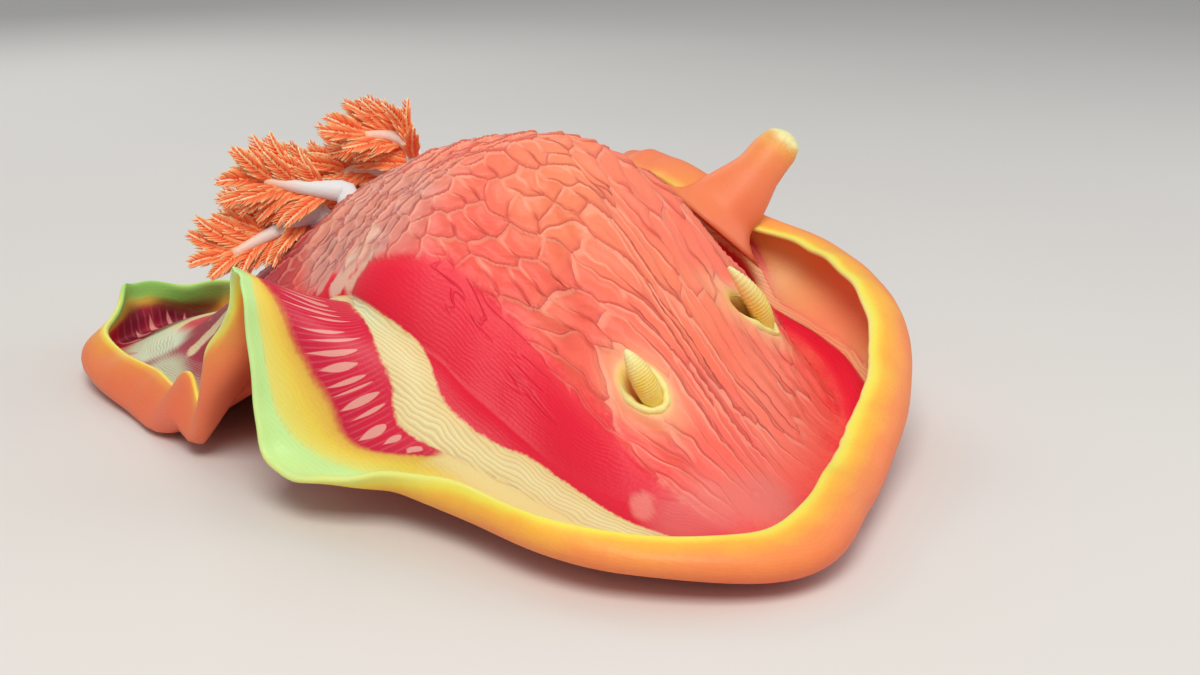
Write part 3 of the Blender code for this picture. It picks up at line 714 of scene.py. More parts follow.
def unrolled(x, y):
    """How far places x, y lie from the ridge of the back, measured over the skin."""
    xs = np.arange(-MAP_X, MAP_X + 1.0)
    ys = np.arange(-MAP_Y, MAP_Y + 1.0, MAP_STEP)
    grid_y, grid_x = np.meshgrid(ys, xs, indexing="ij")
    rise = np.gradient(hump_height(grid_x, grid_y), axis=1)
    reach = np.cumsum(np.sqrt(1 + rise**2), axis=1)
    reach -= reach[:, [int(SUMMIT[0]) + MAP_X]]
    row = np.clip((y + MAP_Y) / MAP_STEP, 0, len(ys) - 1.001)
    column = np.clip(x + MAP_X, 0, len(xs) - 1.001)
    i, j = row.astype(int), column.astype(int)
    u, v = row - i, column - j
    low = reach[i, j] * (1 - v) + reach[i, j + 1] * v
    high = reach[i + 1, j] * (1 - v) + reach[i + 1, j + 1] * v
    return low * (1 - u) + high * u


def pad_map(points):
    """The flat map in which a pad is about one unit wide and one unit long."""
    x, y = points[..., 0], points[..., 1]
    known = np.arange(-MAP_Y, MAP_Y + 1.0)
    along = np.interp(y, known, np.cumsum(1 / np.interp(known, *zip(*PAD_LENGTH))))
    # The wrinkles part in front of each rhinophore and close again behind it.
    for club in RHINOPHORES.values():
        dx, dy = x - club["at"][0], y - club["at"][1]
        x = x - 0.5 * dx * np.exp(-(dx / 12)**2 - ((dy - 4) / 18)**2)
    across = unrolled(x, y) / np.interp(y, *zip(*PAD_WIDTH))
    across += sum(share * soft_noise(points, size, seed) for share, size, seed in STRAY_ACROSS)
    along += sum(share * soft_noise(points, size, seed) for share, size, seed in STRAY_ALONG)
    return np.stack([across, along, 0 * across], -1)


def pad_depth(points, way, place):
    """How strongly the pads stand out: full on the coral back, fading down to the flanks."""
    high = 1 - smooth(-1.18, -0.84, place)
    front = smooth(-112, -86, points[..., 1])
    for side in RHINOPHORES:
        front = front * smooth(1.0, 1.9, pit_share(points, side))
    return high * front * (way < 1)


print("pads of", PAD_WIDTH[-1][1], "mm on the hump, wrinkles", PAD_WIDTH[0][1], "mm apart")

# %% [markdown]
# ## Raised pads
#
# Thousands of pads could be sculpted one by one. Geometry Nodes lift them all by one rule. The
# tree reads the map from the mesh, finds each point's cell and the distance to the cell's
# border, and raises the skin into a soft crown that leans over the pad behind. It uses the very
# texture that the material uses for the painted shade of its creases, so that form and colour
# stay together.

# %% Geometry nodes that raise the pads
CELLS = {"Scale": 1.0, "Randomness": 1.0}
FLAT_MAP = {"voronoi_dimensions": "2D"}
PAD_HEIGHT = 1.1             # of a pad over the creases round it, in millimetres
PAD_OVERLAP = 1.0            # how strongly a pad leans over the one behind it


def pad_tilt(node, where, seed):
    """How far a point lies towards its pad's free edge, which faces the rear and the ridge."""
    off = node("ShaderNodeVectorMath", {0: where, 1: seed}, **MINUS)
    off = node("ShaderNodeSeparateXYZ", {0: off}, None).outputs
    side = node(RANGE, {0: node("ShaderNodeSeparateXYZ", {0: where}), 1: -3.0, 2: 3.0, 3: 0.8,
                        4: -0.8})
    return node(MATH, {0: off[0], 1: side, 2: off[1]}, **TIMES_PLUS)


def pads_tree():
    """A geometry node tree that raises each pad over the creases between its neighbours."""
    group, keys, node, given = new_tree("raise_pads", Height="Float", Overlap="Float",
                                        Flesh="Material")
    where = node("GeometryNodeInputNamedAttribute", {"Name": "pads"}, data_type="FLOAT_VECTOR")
    depth = node("GeometryNodeInputNamedAttribute", {"Name": "pad_depth"}, data_type="FLOAT")
    gap = node(VORONOI, {"Vector": where, **CELLS}, "Distance", feature="DISTANCE_TO_EDGE",
               **FLAT_MAP)
    seed = node(VORONOI, {"Vector": where, **CELLS}, "Position", **FLAT_MAP)
    heart = node(VORONOI, {"Vector": where, "Smoothness": 0.5, **CELLS}, "Distance",
                 feature="SMOOTH_F1", **FLAT_MAP)
    crown = node(RANGE, {0: heart, 1: 0.0, 2: 0.62, 3: 0.55, 4: -0.55}, **SOFTLY)
    # The free edge stands over the next pad, and the step is spread over a few points.
    step = node(RANGE, {0: gap, 1: 0.0, 2: 0.12, 3: 0.3, 4: 1.0}, **SOFTLY)
    tilt = node(MATH, {0: pad_tilt(node, where, seed), 1: step}, **TIMES)
    lift = node(MATH, {0: tilt, 1: given["Overlap"], 2: crown}, **TIMES_PLUS)
    for share in (depth, given["Height"]):
        lift = node(MATH, {0: lift, 1: share}, **TIMES)
    offset = node("ShaderNodeVectorMath", {0: node("GeometryNodeInputNormal"), "Scale": lift},
                  operation="SCALE")
    moved = node("GeometryNodeSetPosition", {"Geometry": given["Geometry"], "Offset": offset})
    end_tree(node, moved, given["Flesh"])
    return group, keys


print("pads stand up to", PAD_HEIGHT, "mm over the creases round them")

# %% [markdown]
# ## Patches on the skin
#
# Some colours keep to one place: ashen pads above the flap, a maroon rear slope with a cream
# tongue on it, painted highlights in peach on the hump, a rosy wall lightened as painted light,
# mint at the tail. An image could hold them, but it would need a flat unwrapping of this skin.
# Instead each is a soft stroke from one place on the body to another, or a swathe along the
# margin, laid into a colour attribute whose alpha says how much it covers.

# %% Strokes, swathes and halos
# Start, end, radius, softness, strength and colour of each stroke, in millimetres on the body.
FEATURES = {
    "ashen pads above the flap": ((-22, 6, 66), (0, 50, 52), 25, 0.6, 0.76, "#D9A89A"),
    "ashen pads on the slope": ((-34, 13, 56), (-24, 34, 52), 15, 0.6, 0.68, "#CFAEA4"),
    "maroon rear slope": ((-10, 64, 36), (-34, 88, 14), 26, 0.35, 0.92, "#A01238"),
    "dusky rear shoulder": ((-14, 60, 46), (-24, 52, 38), 15, 0.6, 0.60, "#B84A56"),
    "cream tongue": ((-17, 77, 31), (-31, 85, 15), 4, 0.2, 0.95, "#EBD3A8"),
    "first pale fold": ((-30, 9, 63), (-39, 14, 49), 3, 0.15, 0.88, "#E8CBB4"),
    "second pale fold": ((-27, 19, 62), (-38, 22, 48), 3, 0.25, 0.75, "#DDB9A8"),
    "crest of the flap": ((-35, 4, 59), (-39, 9, 50), 2, 0.3, 0.80, "#EBD2B4"),
    # These three peach strokes are painted highlights on the hump.
    "peach glow": ((6, -30, 84), (-6, -40, 72), 17, 0.9, 0.50, "#FF9A66"),
    "glow of the head": ((4, -62, 58), (8, -78, 42), 18, 0.9, 0.45, "#FF8452"),
    "left shoulder": ((30, -30, 74), (24, -14, 80), 16, 0.9, 0.35, "#FF8E68"),
    "snout blotch": ((-40, -88, 12), (-38, -86, 13), 3, 0.35, 0.75, "#F08A80"),
    "see-through snout": ((-36, -97, 11), (-16, -108, 11), 11, 0.7, 0.45, "#E08A80"),
    "mint tail": ((-28, 107, 10), (-24, 118, 8), 12, 0.5, 0.85, "#DDF0CE"),
    "mint rear skirt": ((-40, 92, 10), (-56, 66, 12), 9, 0.6, 0.70, "#D6EDC4"),
    "dark tail band": ((-14, 132, 10), (12, 136, 10), 11, 0.4, 0.80, "#5A1430"),
}
ASHEN_END = -0.93            # the ashen pads end where the red begins, in bands
STROKE_END = 4.9             # and every other stroke before the margin
# Swathes follow the margin: the angle and half width of each, the bands between which it comes
# in and those between which it fades out, its strength and its colour. Two have a reach of
# their own, which tinted() works out.
SWATHES = {
    "crest": (268, 14, 1.0, 1.1, 1.9, 2.0, 0.80, "#DDEEC4"),
    # The wall's own salmon, lightened as painted light against the shadow of the rim.
    "rosy left wall": (48, 17, 0.85, 1.0, 4.3, 4.8, 0.88, "#FF9C78"),
    "cream for crimson": (0, 0, 1.85, 1.95, 3.1, 3.6, 1.00, "#EDD896"),
    "green tail lip": (184, 24, 3.4, 4.0, 5.0, 5.5, 0.85, "#8FE36A"),
    "cream lip": (0, 0, 3.3, 4.2, 5.1, 5.5, 0.80, "#F4F1B8"),
    "outer side of the tail": (226, 32, 5.6, 6.1, 7.8, 8.3, 0.80, "#EE6E50"),
    "outer side of the lobe": (90, 24, 5.6, 6.1, 7.8, 8.3, 0.80, "#F58660"),
    "outer lip of the lobe": (86, 16, 5.1, 5.4, 7.8, 8.3, 0.75, "#F58660"),
    "mint lip of the flap": (272, 34, 4.0, 4.3, 5.3, 5.6, 0.80, "#BFF3A0"),
}
# Round each pocket, in shares of its oval: where a halo is full, where it is gone, its strength.
# The last, dark halo is painted shade on the pocket's floor.
HALOS_AND_POCKET_SHADE = ((1.1, 2.6, 0.75, "#FFC08E"), (0.95, 1.35, 0.9, "#FBE27C"), (0.55, 0.95, 0.9, "#C8642A"))


print(len(FEATURES), "strokes, the widest", max(f[2] for f in FEATURES.values()),
      "mm in radius, and", len(SWATHES), "swathes along the margin")


# %% Lay them on the skin
def stroke_cover(points, first, last, radius, softness):
    """How fully a stroke with a soft uneven edge covers each point."""
    first, run = np.array(first, float), np.array(last, float) - first
    t = np.clip((points - first) @ run / max(run @ run, 1e-9), 0, 1)
    off = np.linalg.norm(points - first - t[..., None] * run, axis=-1) / radius
    off = off * (1 + 0.18 * soft_noise(points, max(radius * 0.6, 1.5), 21))
    return 1 - smooth(1 - softness, 1 + softness * 0.3, off)


def tinted(points, place, turn):
    """Colour and cover of the strokes, swathes and halos at each point."""
    shade = np.zeros((*points.shape[:-1], 4))

    def lay(code, cover):
        """Lay a colour over what is there already."""
        cover = cover[..., None]
        under = shade[..., 3:4] * (1 - cover)
        total = np.maximum(under + cover, 1e-6)
        shade[..., :3] = (shade[..., :3] * under + np.array(colour(code)[:3]) * cover) / total
        shade[..., 3:4] = under + cover

    for name, (first, last, radius, softness, strength, code) in FEATURES.items():
        end = ASHEN_END if "pads" in name else STROKE_END
        cover = strength * stroke_cover(points, first, last, radius, softness)
        lay(code, cover * (1 - smooth(end - 0.12, end, place)))
    no_crimson = 1 - smooth(0.5, 2.5, ring(turn, BANDS, 4))
    snout = smooth(318, 335, turn) + (1 - smooth(35, 60, turn))
    own_reach = {"cream for crimson": no_crimson * (1 - near(turn, 48, 17)),
                 "cream lip": np.clip(snout + near(turn, 85, 17), 0, 1)}
    for name, (angle, wide, starts, full, fades, gone, strength, code) in SWATHES.items():
        here = own_reach[name] if name in own_reach else near(turn, angle, wide)
        lay(code, strength * here * between(place, starts, full, fades, gone))
    for side in RHINOPHORES:
        share = pit_share(points, side)
        # The last halo darkens the pocket as painted shade.
        for full, gone, strength, code in HALOS_AND_POCKET_SHADE:
            lay(code, strength * (1 - smooth(full, gone, share)))
    return shade


print("each of", len(RHINOPHORES), "pockets gets", len(HALOS_AND_POCKET_SHADE), "halos")


# %% [markdown]
# ## Material of the skin
#
# Wet flesh is soft and slightly see-through, so light spreads under its surface and its edges
# glow. One colour ramp holds the bands. Noise shifts its borders a little, so that they look
# grown and not cut. Over it go the strokes, some of them painted highlights and painted light,
# the pale dashes, the fine lines along the margin, the painted shade of the creases and folds
# and the painted highlights of the pads' rims. Relief too fine for the mesh, such as pores and
# thin folds, is a bump.

# %% The ramp of the bands
# Place among the bands, and the colour there.
SKIN_STOPS = (
    (-2.0, "#FF9070"), (-1.45, "#FF7860"), (-1.05, "#FC6056"), (-0.96, "#F43446"),
    (-0.5, "#EE1C3C"), (0.5, "#E41838"), (0.97, "#DB1536"), (1.04, "#EBD595"), (1.5, "#EFE2A8"),
    (1.96, "#EAD79C"), (2.04, "#D8143E"), (2.5, "#D6123E"), (2.92, "#CC1440"), (3.12, "#E8B84C"),
    (3.5, "#F2D455"), (3.95, "#EDE272"), (4.25, "#D2EFA0"), (5.0, "#D6F2A6"), (5.25, "#F0F07E"),
    (5.65, "#F8E654"), (6.0, "#FFBE44"), (6.35, "#FB9450"), (6.8, "#F5784A"), (7.5, "#EC5836"),
    (8.4, "#C4351E"), (9.0, "#D9603F"),
)


def skin_ramp(node, place):
    """The bands as one colour ramp over a place."""
    first, last = SKIN_STOPS[0][0], SKIN_STOPS[-1][0]
    share = node(RANGE, {0: place, 1: first, 2: last})
    ramp = node("ShaderNodeValToRGB", {0: share}, None)
    stops = ramp.color_ramp.elements
    for number, (value, code) in enumerate(SKIN_STOPS):
        at = (value - first) / (last - first)
        if number == 0:
            stop = stops[0]
        elif number == len(SKIN_STOPS) - 1:
            stop = stops[-1]
        else:
            stop = stops.new(at)
        stop.position = at
        stop.color = colour(code)
    return ramp.outputs[0]


print("bands in", len(SKIN_STOPS), "shades")


# %% Dashes and fine lines
LINE_SPACING = 1.25          # of the fine lines along the margin, in millimetres
DASH_SPACING = 3.1           # of the pale dashes, in degrees round the body
THIN_SPACING = 1.35          # of the thin streaks between them


def dash_mask(node, place):
    """Pale dashes that lie across the crimson band, blunt at the cream and fine at the yellow."""
    turn = node(ATTRIBUTE, out="Fac", attribute_name="turn")
    ray = node(ATTRIBUTE, out="Vector", attribute_name="ray")
    sway = node(NOISE, {"Vector": ray, "Scale": 14.0, "Detail": 1.0})
    number = node(MATH, {0: turn, 1: 1 / DASH_SPACING}, **TIMES)
    number = node(MATH, {0: sway, 1: 1.1, 2: number}, **TIMES_PLUS)
    own = node("ShaderNodeTexWhiteNoise", {"W": node(MATH, {0: number}, operation="FLOOR")},
               "Color", noise_dimensions="1D")
    own = node("ShaderNodeSeparateColor", {0: own}, None).outputs
    side = node(MATH, {0: node(MATH, {0: number}, operation="FRACT"), 1: 0.5}, **MINUS)
    side = node(MATH, {0: side}, operation="ABSOLUTE")
    begin = node(RANGE, {0: own[0], 3: 2.10, 4: 2.36})
    long = node(RANGE, {0: own[1], 3: 0.56, 4: 0.88})
    share = node(MATH, {0: node(MATH, {0: place, 1: begin}, **MINUS), 1: long}, operation="DIVIDE")
    blunt = node(RANGE, {0: share, 1: 0.0, 2: 0.25, 3: 0.0, 4: 1.0})
    blunt = node(MATH, {0: blunt, 1: 0.5}, operation="POWER")
    fine = node(RANGE, {0: share, 1: 0.35, 2: 1.0, 3: 1.0, 4: 0.0}, **SOFTLY)
    wide = node(RANGE, {0: own[2], 3: 0.18, 4: 0.30})
    half = node(MATH, {0: node(MATH, {0: blunt, 1: fine}, **TIMES), 1: wide}, **TIMES)
    inside = node(MATH, {0: half, 1: side}, **MINUS)
    mask = node(RANGE, {0: inside, 1: -0.012, 2: 0.06}, **SOFTLY)
    thin = node(MATH, {0: turn, 1: math.tau / THIN_SPACING}, **TIMES)
    thin = node(MATH, {0: thin}, operation="COSINE")
    thin = node(RANGE, {0: thin, 1: 0.35, 2: 1.0, 4: 0.14}, **SOFTLY)
    return node(MATH, {0: mask, 1: thin}, operation="MAXIMUM")


def dashed_and_lined(node, shade, place, spot):
    """Pale dashes on the crimson band, and fine lines along the margin."""
    on = node(ATTRIBUTE, out="Fac", attribute_name="dashes")
    dash = node(MATH, {0: dash_mask(node, place), 1: on}, **TIMES)
    shade = node(MIX, {0: dash, 6: shade, 7: colour("#E89E94")}, **BLEND)
    reach = node(ATTRIBUTE, out="Fac", attribute_name="reach")
    lines_on = node(ATTRIBUTE, out="Fac", attribute_name="lines")
    bend = node(NOISE, {"Vector": spot, "Scale": per(18), "Detail": 2.0})
    line = node(MATH, {0: bend, 1: 9.0, 2: reach}, **TIMES_PLUS)
    line = node(MATH, {0: line, 1: math.tau / LINE_SPACING}, **TIMES)
    line = node(MATH, {0: line}, operation="SINE")
    ink = node(RANGE, {0: line, 1: 0.2, 2: 1.0, 4: 0.32}, **SOFTLY)
    ink = node(MATH, {0: ink, 1: lines_on}, **TIMES)
    shade = node(MIX, {0: ink, 6: shade, 7: colour("#CE958B")}, **BLEND, blend_type="MULTIPLY")
    return shade, node(MATH, {0: line, 1: lines_on}, **TIMES)


print("fine lines", LINE_SPACING, "mm apart, dashes", DASH_SPACING, "degrees apart")


# %% Bands, patches and spots in the skin
SPOT_EVERY = 13.0            # between the pale spots of the red flank, in millimetres
SPOT_RADIUS = 1.3


def grown_bands(node, place, spot, fine):
    """The bands with borders that wander a little, and peach clouds on the back."""
    broad = node(NOISE, {"Vector": spot, "Scale": per(14), "Detail": 2.0})
    off = node(MATH, {0: broad, 1: 0.5}, **MINUS)
    sway = node(RANGE, {0: place, 1: 4.9, 2: 5.8, 3: 0.24, 4: 0.45})
    grown = node(MATH, {0: off, 1: sway, 2: place}, **TIMES_PLUS)
    grain = node(MATH, {0: fine, 1: 0.5}, **MINUS)
    grown = node(MATH, {0: grain, 1: 0.12, 2: grown}, **TIMES_PLUS)
    shade = skin_ramp(node, grown)
    cloud = node(NOISE, {"Vector": spot, "Scale": per(30), "Detail": 2.0})
    cloud = node(RANGE, {0: cloud, 1: 0.42, 2: 0.68, 4: 0.42}, **SOFTLY)
    on_back = node(RANGE, {0: place, 1: -1.25, 2: -1.0, 3: 1.0, 4: 0.0})
    cloud = node(MATH, {0: cloud, 1: on_back}, **TIMES)
    return node(MIX, {0: cloud, 6: shade, 7: colour("#FF9A76")}, **BLEND)


def patched(node, shade, cells):
    """The strokes, each pad taking them up a little differently."""
    tint = node(ATTRIBUTE, out=None, attribute_name="tint").outputs
    depth = node(ATTRIBUTE, out="Fac", attribute_name="pad_depth")
    own = node("ShaderNodeSeparateColor", {0: cells["Color"]})
    less = node(RANGE, {0: own, 3: -0.30, 4: 0.0})
    cover = node(MATH, {0: less, 1: depth, 2: 1.0}, **TIMES_PLUS)
    cover = node(MATH, {0: cover, 1: tint["Alpha"]}, **TIMES)
    return node(MIX, {0: cover, 6: shade, 7: tint["Color"]}, **BLEND)


def spotted(node, shade, place, spot):
    """A few pale spots on the red flank, where a cell's own random value is high."""
    cell = node(VORONOI, {"Vector": spot, "Scale": per(SPOT_EVERY)}, None).outputs
    lone = node("ShaderNodeSeparateColor", {0: cell["Color"]})
    lone = node(MATH, {0: lone, 1: 0.72}, operation="GREATER_THAN")
    size = SPOT_RADIUS / SPOT_EVERY
    dot = node(RANGE, {0: cell["Distance"], 1: size * 0.5, 2: size, 3: 0.5, 4: 0.0}, **SOFTLY)
    on_red = node(RANGE, {0: place, 1: -0.6, 2: -0.2})
    off_red = node(RANGE, {0: place, 1: 0.8, 2: 1.0, 3: 1.0, 4: 0.0})
    red = node(MATH, {0: on_red, 1: off_red}, **TIMES)
    dot = node(MATH, {0: dot, 1: lone}, **TIMES)
    dot = node(MATH, {0: dot, 1: red}, **TIMES)
    return node(MIX, {0: dot, 6: shade, 7: colour("#FF9C8C")}, **BLEND)


print("pale spots", 2 * SPOT_RADIUS, "mm wide in cells of", SPOT_EVERY, "mm")


# %% Painted highlights and shade of the pad rims, and painted shade in the folds
CREASE = 0.045               # half the width of a crease, in cells


def padded(node, shade, pads, cells):
    """Painted highlight on a pad's free edge; painted shade on the covered skin and its crease."""
    depth = node(ATTRIBUTE, out="Fac", attribute_name="pad_depth")
    gap = node(VORONOI, {"Vector": pads, **CELLS}, "Distance", feature="DISTANCE_TO_EDGE",
               **FLAT_MAP)
    tilt = pad_tilt(node, pads, cells["Position"])
    free = node(RANGE, {0: tilt, 1: 0.0, 2: 0.3})
    free = node(MATH, {0: free, 1: depth}, **TIMES)
    covered = node(RANGE, {0: tilt, 1: -0.3, 2: 0.05, 3: 1.0, 4: 0.12})
    covered = node(MATH, {0: covered, 1: depth}, **TIMES)
    # Painted shade under a pad, a painted highlight on its free rim, painted shade in the crease.
    for near_edge, far, most, share, code in (
            (0.0, 0.30, 0.20, covered, "#DC3A40"),
            (CREASE, CREASE * 3, 0.40, free, "#FFC4A4"),
            (0.0, CREASE * 1.6, 0.50, covered, "#B02630")):
        cover = node(RANGE, {0: gap, 1: near_edge, 2: far, 3: most, 4: 0.0}, **SOFTLY)
        cover = node(MATH, {0: cover, 1: share}, **TIMES)
        shade = node(MIX, {0: cover, 6: shade, 7: colour(code)}, **BLEND)
    crown = node(RANGE, {0: gap, 1: 0.0, 2: 0.13}, **SOFTLY)
    return shade, node(MATH, {0: crown, 1: covered}, **TIMES)


def folded(node, shade):
    """Long faint folds along the flanks, where a noise drawn out along the margin turns over."""
    folds = node(ATTRIBUTE, out="Vector", attribute_name="folds")
    fold = node(NOISE, {"Vector": folds, "Scale": 1.0, "Detail": 1.0})
    fold = node(MATH, {0: fold, 1: 0.5}, **MINUS)
    fold = node(MATH, {0: fold}, operation="ABSOLUTE")
    fold_on = node(ATTRIBUTE, out="Fac", attribute_name="fold_on")
    fold = node(RANGE, {0: fold, 1: 0.0, 2: 0.03, 3: 0.6, 4: 0.0}, **SOFTLY)
    here = node(NOISE, {"Vector": node("ShaderNodeTexCoord", out="Object"), "Scale": per(16)})
    here = node(RANGE, {0: here, 1: 0.46, 2: 0.62}, **SOFTLY)
    fold = node(MATH, {0: fold, 1: fold_on}, **TIMES)
    fold = node(MATH, {0: fold, 1: here}, **TIMES)
    # Painted shade darkens each fold.
    ink = node(MATH, {0: fold, 1: 0.35}, **TIMES)
    return node(MIX, {0: ink, 6: shade, 7: colour("#9E1230")}, **BLEND), fold


print("a crease is", round(2 * CREASE * PAD_WIDTH[-1][1], 2), "mm wide on the hump")


# %% The skin's material
PORE = 0.6
GRAIN = 1.3


def skin_material():
    """Wet mantle skin of a sea slug.

    It is living flesh without a shell or cuticle, covered with a thin film of slime. The flesh
    is soft and clouded, so light goes in and comes out again as a red glow at thin edges. The
    slime gives it broad soft highlights, as on boiled egg white and not as on glass.
    """
    material, node = new_material("wet_mantle_skin", roughness=0.46, subsurface_weight=0.16,
                                  subsurface_radius=(1.0, 0.35, 0.22), subsurface_scale=4.0)
    place = node(ATTRIBUTE, out="Fac", attribute_name="band")
    pads = node(ATTRIBUTE, out="Vector", attribute_name="pads")
    spot = node("ShaderNodeTexCoord", out="Object")
    fine = node(NOISE, {"Vector": spot, "Scale": per(GRAIN), "Detail": 3.0})
    cells = node(VORONOI, {"Vector": pads, **CELLS}, None, **FLAT_MAP).outputs
    shade = patched(node, grown_bands(node, place, spot, fine), cells)
    shade = spotted(node, shade, place, spot)
    shade, ridge = dashed_and_lined(node, shade, place, spot)
    shade, crown = padded(node, shade, pads, cells)
    shade, fold = folded(node, shade)
    # Pores are about 0.1 mm wide on the animal, too fine to show, so they are drawn coarser.
    pores = node(NOISE, {"Vector": spot, "Scale": per(PORE), "Detail": 2.0})
    relief = crown
    for height, share in ((fold, -0.9), (ridge, 0.10), (pores, 0.10), (fine, 0.16)):
        relief = node(MATH, {0: height, 1: share, 2: relief}, **TIMES_PLUS)
    return coat(material, shade, relief, 0.7, 0.75)


print("pores are drawn", PORE, "mm apart and the skin's grain", GRAIN, "mm")

# %% [markdown]
# The skin is then one closed grid of columns and rows, with a point at the summit and one in the
# middle of the sole. It carries its bands, maps and strokes as attributes of its points, so that
# they stay on the flesh wherever the waves take it.

# %% Build the skin
# Between which bands the dashes, the fine lines, with how strong they are, and the folds lie.
DASHED = (2.02, 2.12, 2.85, 3.0)
LINED = ((1.0, (1.0, 1.06, 1.94, 2.0)), (0.22, (-1.0, -0.4, 0.9, 1.0)),
         (0.12, (3.1, 3.3, 4.6, 5.0)), (0.16, (5.9, 6.4, 7.6, 8.0)))
FOLDED = (-1.15, -0.85, -0.2, 0.4)


def build_skin():
    """The one closed skin, with its attributes, waves, pockets and pads."""
    angles = even_columns()
    points, way = skin_sections(angles)
    columns, rows = points.shape[:2]
    turn = np.repeat(angles[:, None], rows, axis=1)
    way = np.repeat(way[None, :], columns, axis=0)
    points = ruffle(points, surface_normals(points), turn, way)
    points = peaks(points, turn, way)
    steps = np.linalg.norm(np.diff(points, axis=1), axis=-1)
    reach = np.concatenate([np.zeros((columns, 1)), np.cumsum(steps, axis=1)], 1)
    reach -= reach[:, BACK_ROWS - 1:BACK_ROWS]
    rad = np.radians(turn)
    place = band_place(reach, turn)
    values = {
        "band": place,
        "reach": reach,
        "turn": turn,
        "pad_depth": pad_depth(points, way, place),
        "dashes": between(place, *DASHED) * smooth(1.5, 4.0, ring(turn, BANDS, 4)),
        "lines": sum(share * between(place, *band) for share, band in LINED),
        "fold_on": between(place, *FOLDED) * (0.35 + 0.65 * near(turn, 290, 32)),
    }
    vectors = {
        "pads": pad_map(points),
        "ray": np.stack([np.cos(rad), np.sin(rad), way * 0.12], -1),
        "folds": np.stack([reach * 0.16 + 0.5 * soft_noise(points, 16, 16), turn * 0.05,
                           0 * turn], -1),
    }
    paints = {"tint": tinted(points, place, turn)}
    points = sink_pits(points, surface_normals(points))
    flat = points.reshape(-1, 3)
    top = len(flat)
    flat = np.concatenate([flat, SUMMIT[None, :], np.zeros((1, 3))])
    faces = quads(columns, rows)
    for i in range(columns):
        after = (i + 1) % columns
        faces.append([top, i * rows, after * rows])
        faces.append([top + 1, after * rows + rows - 1, i * rows + rows - 1])

    def closed(grid):
        """A grid's values, then those of the summit and of the sole's middle."""
        flat_grid = grid.reshape(columns * rows, -1)
        ends = np.stack([grid[:, 0].mean(0), grid[:, -1].mean(0)]).reshape(2, -1)
        return np.concatenate([flat_grid, ends])

    values, vectors, paints = ({key: closed(grid) for key, grid in given.items()}
                               for given in (values, vectors, paints))
    material = skin_material()
    skin = new_mesh("skin", flat, faces, material, values, vectors, paints)
    return grow(skin, *pads_tree(), {"Height": PAD_HEIGHT * MM, "Overlap": PAD_OVERLAP,
                                     "Flesh": material})


skin = build_skin()
hand_in(skin, "back_flesh", "back", "head", "rear_back", "foot", "mantle_front_roll",
        "mantle_left_front", "mantle_left_lobe", "mantle_left_rear", "mantle_tail",
        "mantle_right_rear", "mantle_right_flap", "mantle_right_front")

# %% [markdown]
# ## Horn of the left lobe
#
# The left lobe carries a blunt horn, a finger of the same flesh. Pulling it out of the skin's
# grid would stretch its faces, so it is a tube of its own. Its foot spreads like a trumpet onto
# the lobe, a little below its surface, so that it seems to grow out of it, and it wears the
# skin's own material.

# %% Build the horn
HORN_ROWS = 34
HORN_SIDES = 48
HORN_FLARE = 1.6             # how much wider its foot is than its first radius
HORN_FLARED = 0.22           # share of its length that flares
HORN_ROUND = 0.22            # share of its length that rounds off at the tip
HORN_FLAT = 0.74             # its thickness over its width
HORN_FACE = (-0.6, -0.5, 0.6)


def smooth_path(places, t):
    """Points at shares t of a smooth curve through a few places."""
    places = np.array(places, float)
    known = np.linspace(0, 1, len(places))
    slope = np.gradient(places, known, axis=0)
    i = np.clip(np.searchsorted(known, t, side="right") - 1, 0, len(places) - 2)
    step = (known[i + 1] - known[i])[:, None]
    share = (t - known[i])[:, None] / step
    return hermite(places[i], places[i + 1], slope[i] * step, slope[i + 1] * step, share)


def horn_form():
    """Points of the horn, their share of its length, and the way that each faces."""
    t = np.sin(np.linspace(0, math.pi / 2, HORN_ROWS))    # closer together at the round tip
    centres = smooth_path([place for place, _ in HORN], t)
    radii = np.interp(t, np.linspace(0, 1, len(HORN)), [radius for _, radius in HORN])
    radii = radii * (1 + (HORN_FLARE - 1) * np.clip(1 - t / HORN_FLARED, 0, 1)**2)
    tip = ((t - 1 + HORN_ROUND) / HORN_ROUND).clip(0)
    radii = radii * np.sqrt(np.clip(1 - tip**2, 0.001, 1))
    runs = unit(np.gradient(centres, t, axis=0))
    points = tube(centres, radii, HORN_FLAT, HORN_FACE, HORN_SIDES, runs)
    along = np.repeat(t, HORN_SIDES)
    away = points - np.repeat(centres, HORN_SIDES, axis=0)
    rough = 0.14 * soft_noise(points, 2.4, 31) * smooth(0.62, 0.9, along)
    points = points + away * (rough + 0.08 * soft_noise(points, 9, 32))[:, None]
    return points, along, unit(away)


def build_horn():
    """The blunt horn on the left lobe, in the skin's material with colours of its own."""
    points, along, facing = horn_form()
    still = np.zeros(len(points))
    band = np.interp(along, (0, 0.5, 0.66, 0.78, 1), (6.9, 6.5, 6.3, 5.7, 5.25))
    values = {"band": band - 0.25 * smooth(-0.4, 0.6, facing[:, 2]), "reach": still,
              "turn": still + 90.0, "pad_depth": still, "dashes": still, "lines": still,
              "fold_on": 0.25 * smooth(0.5, 0.7, along)}
    pale = smooth(0.74, 0.90, along + 0.06 * soft_noise(points, 3, 33))[:, None]
    paint = (1 - pale) * colour("#F58A62") + pale * colour("#F6F0AE")
    paint[:, 3] = 0.62 + 0.25 * pale[:, 0]
    vectors = {"pads": points / 5, "ray": points / 40, "folds": points / 2.2}
    return new_mesh("left_lobe_horn", points, loft_faces(HORN_ROWS, HORN_SIDES),
                    skin.data.materials[0], values, vectors, {"tint": paint})


hand_in(build_horn(), "mantle_flesh")

# %% [markdown]
# ## Rhinophores
#
# Each rhinophore, the animal's organ of smell, is a club with many thin slanting leaves across
# its rear side. Separate leaves would be too thin to see, so they are notches in one tube. It
# lies in the oval pocket that is pressed into the skin, and a soft yellow lip runs round the
# pocket's foot.

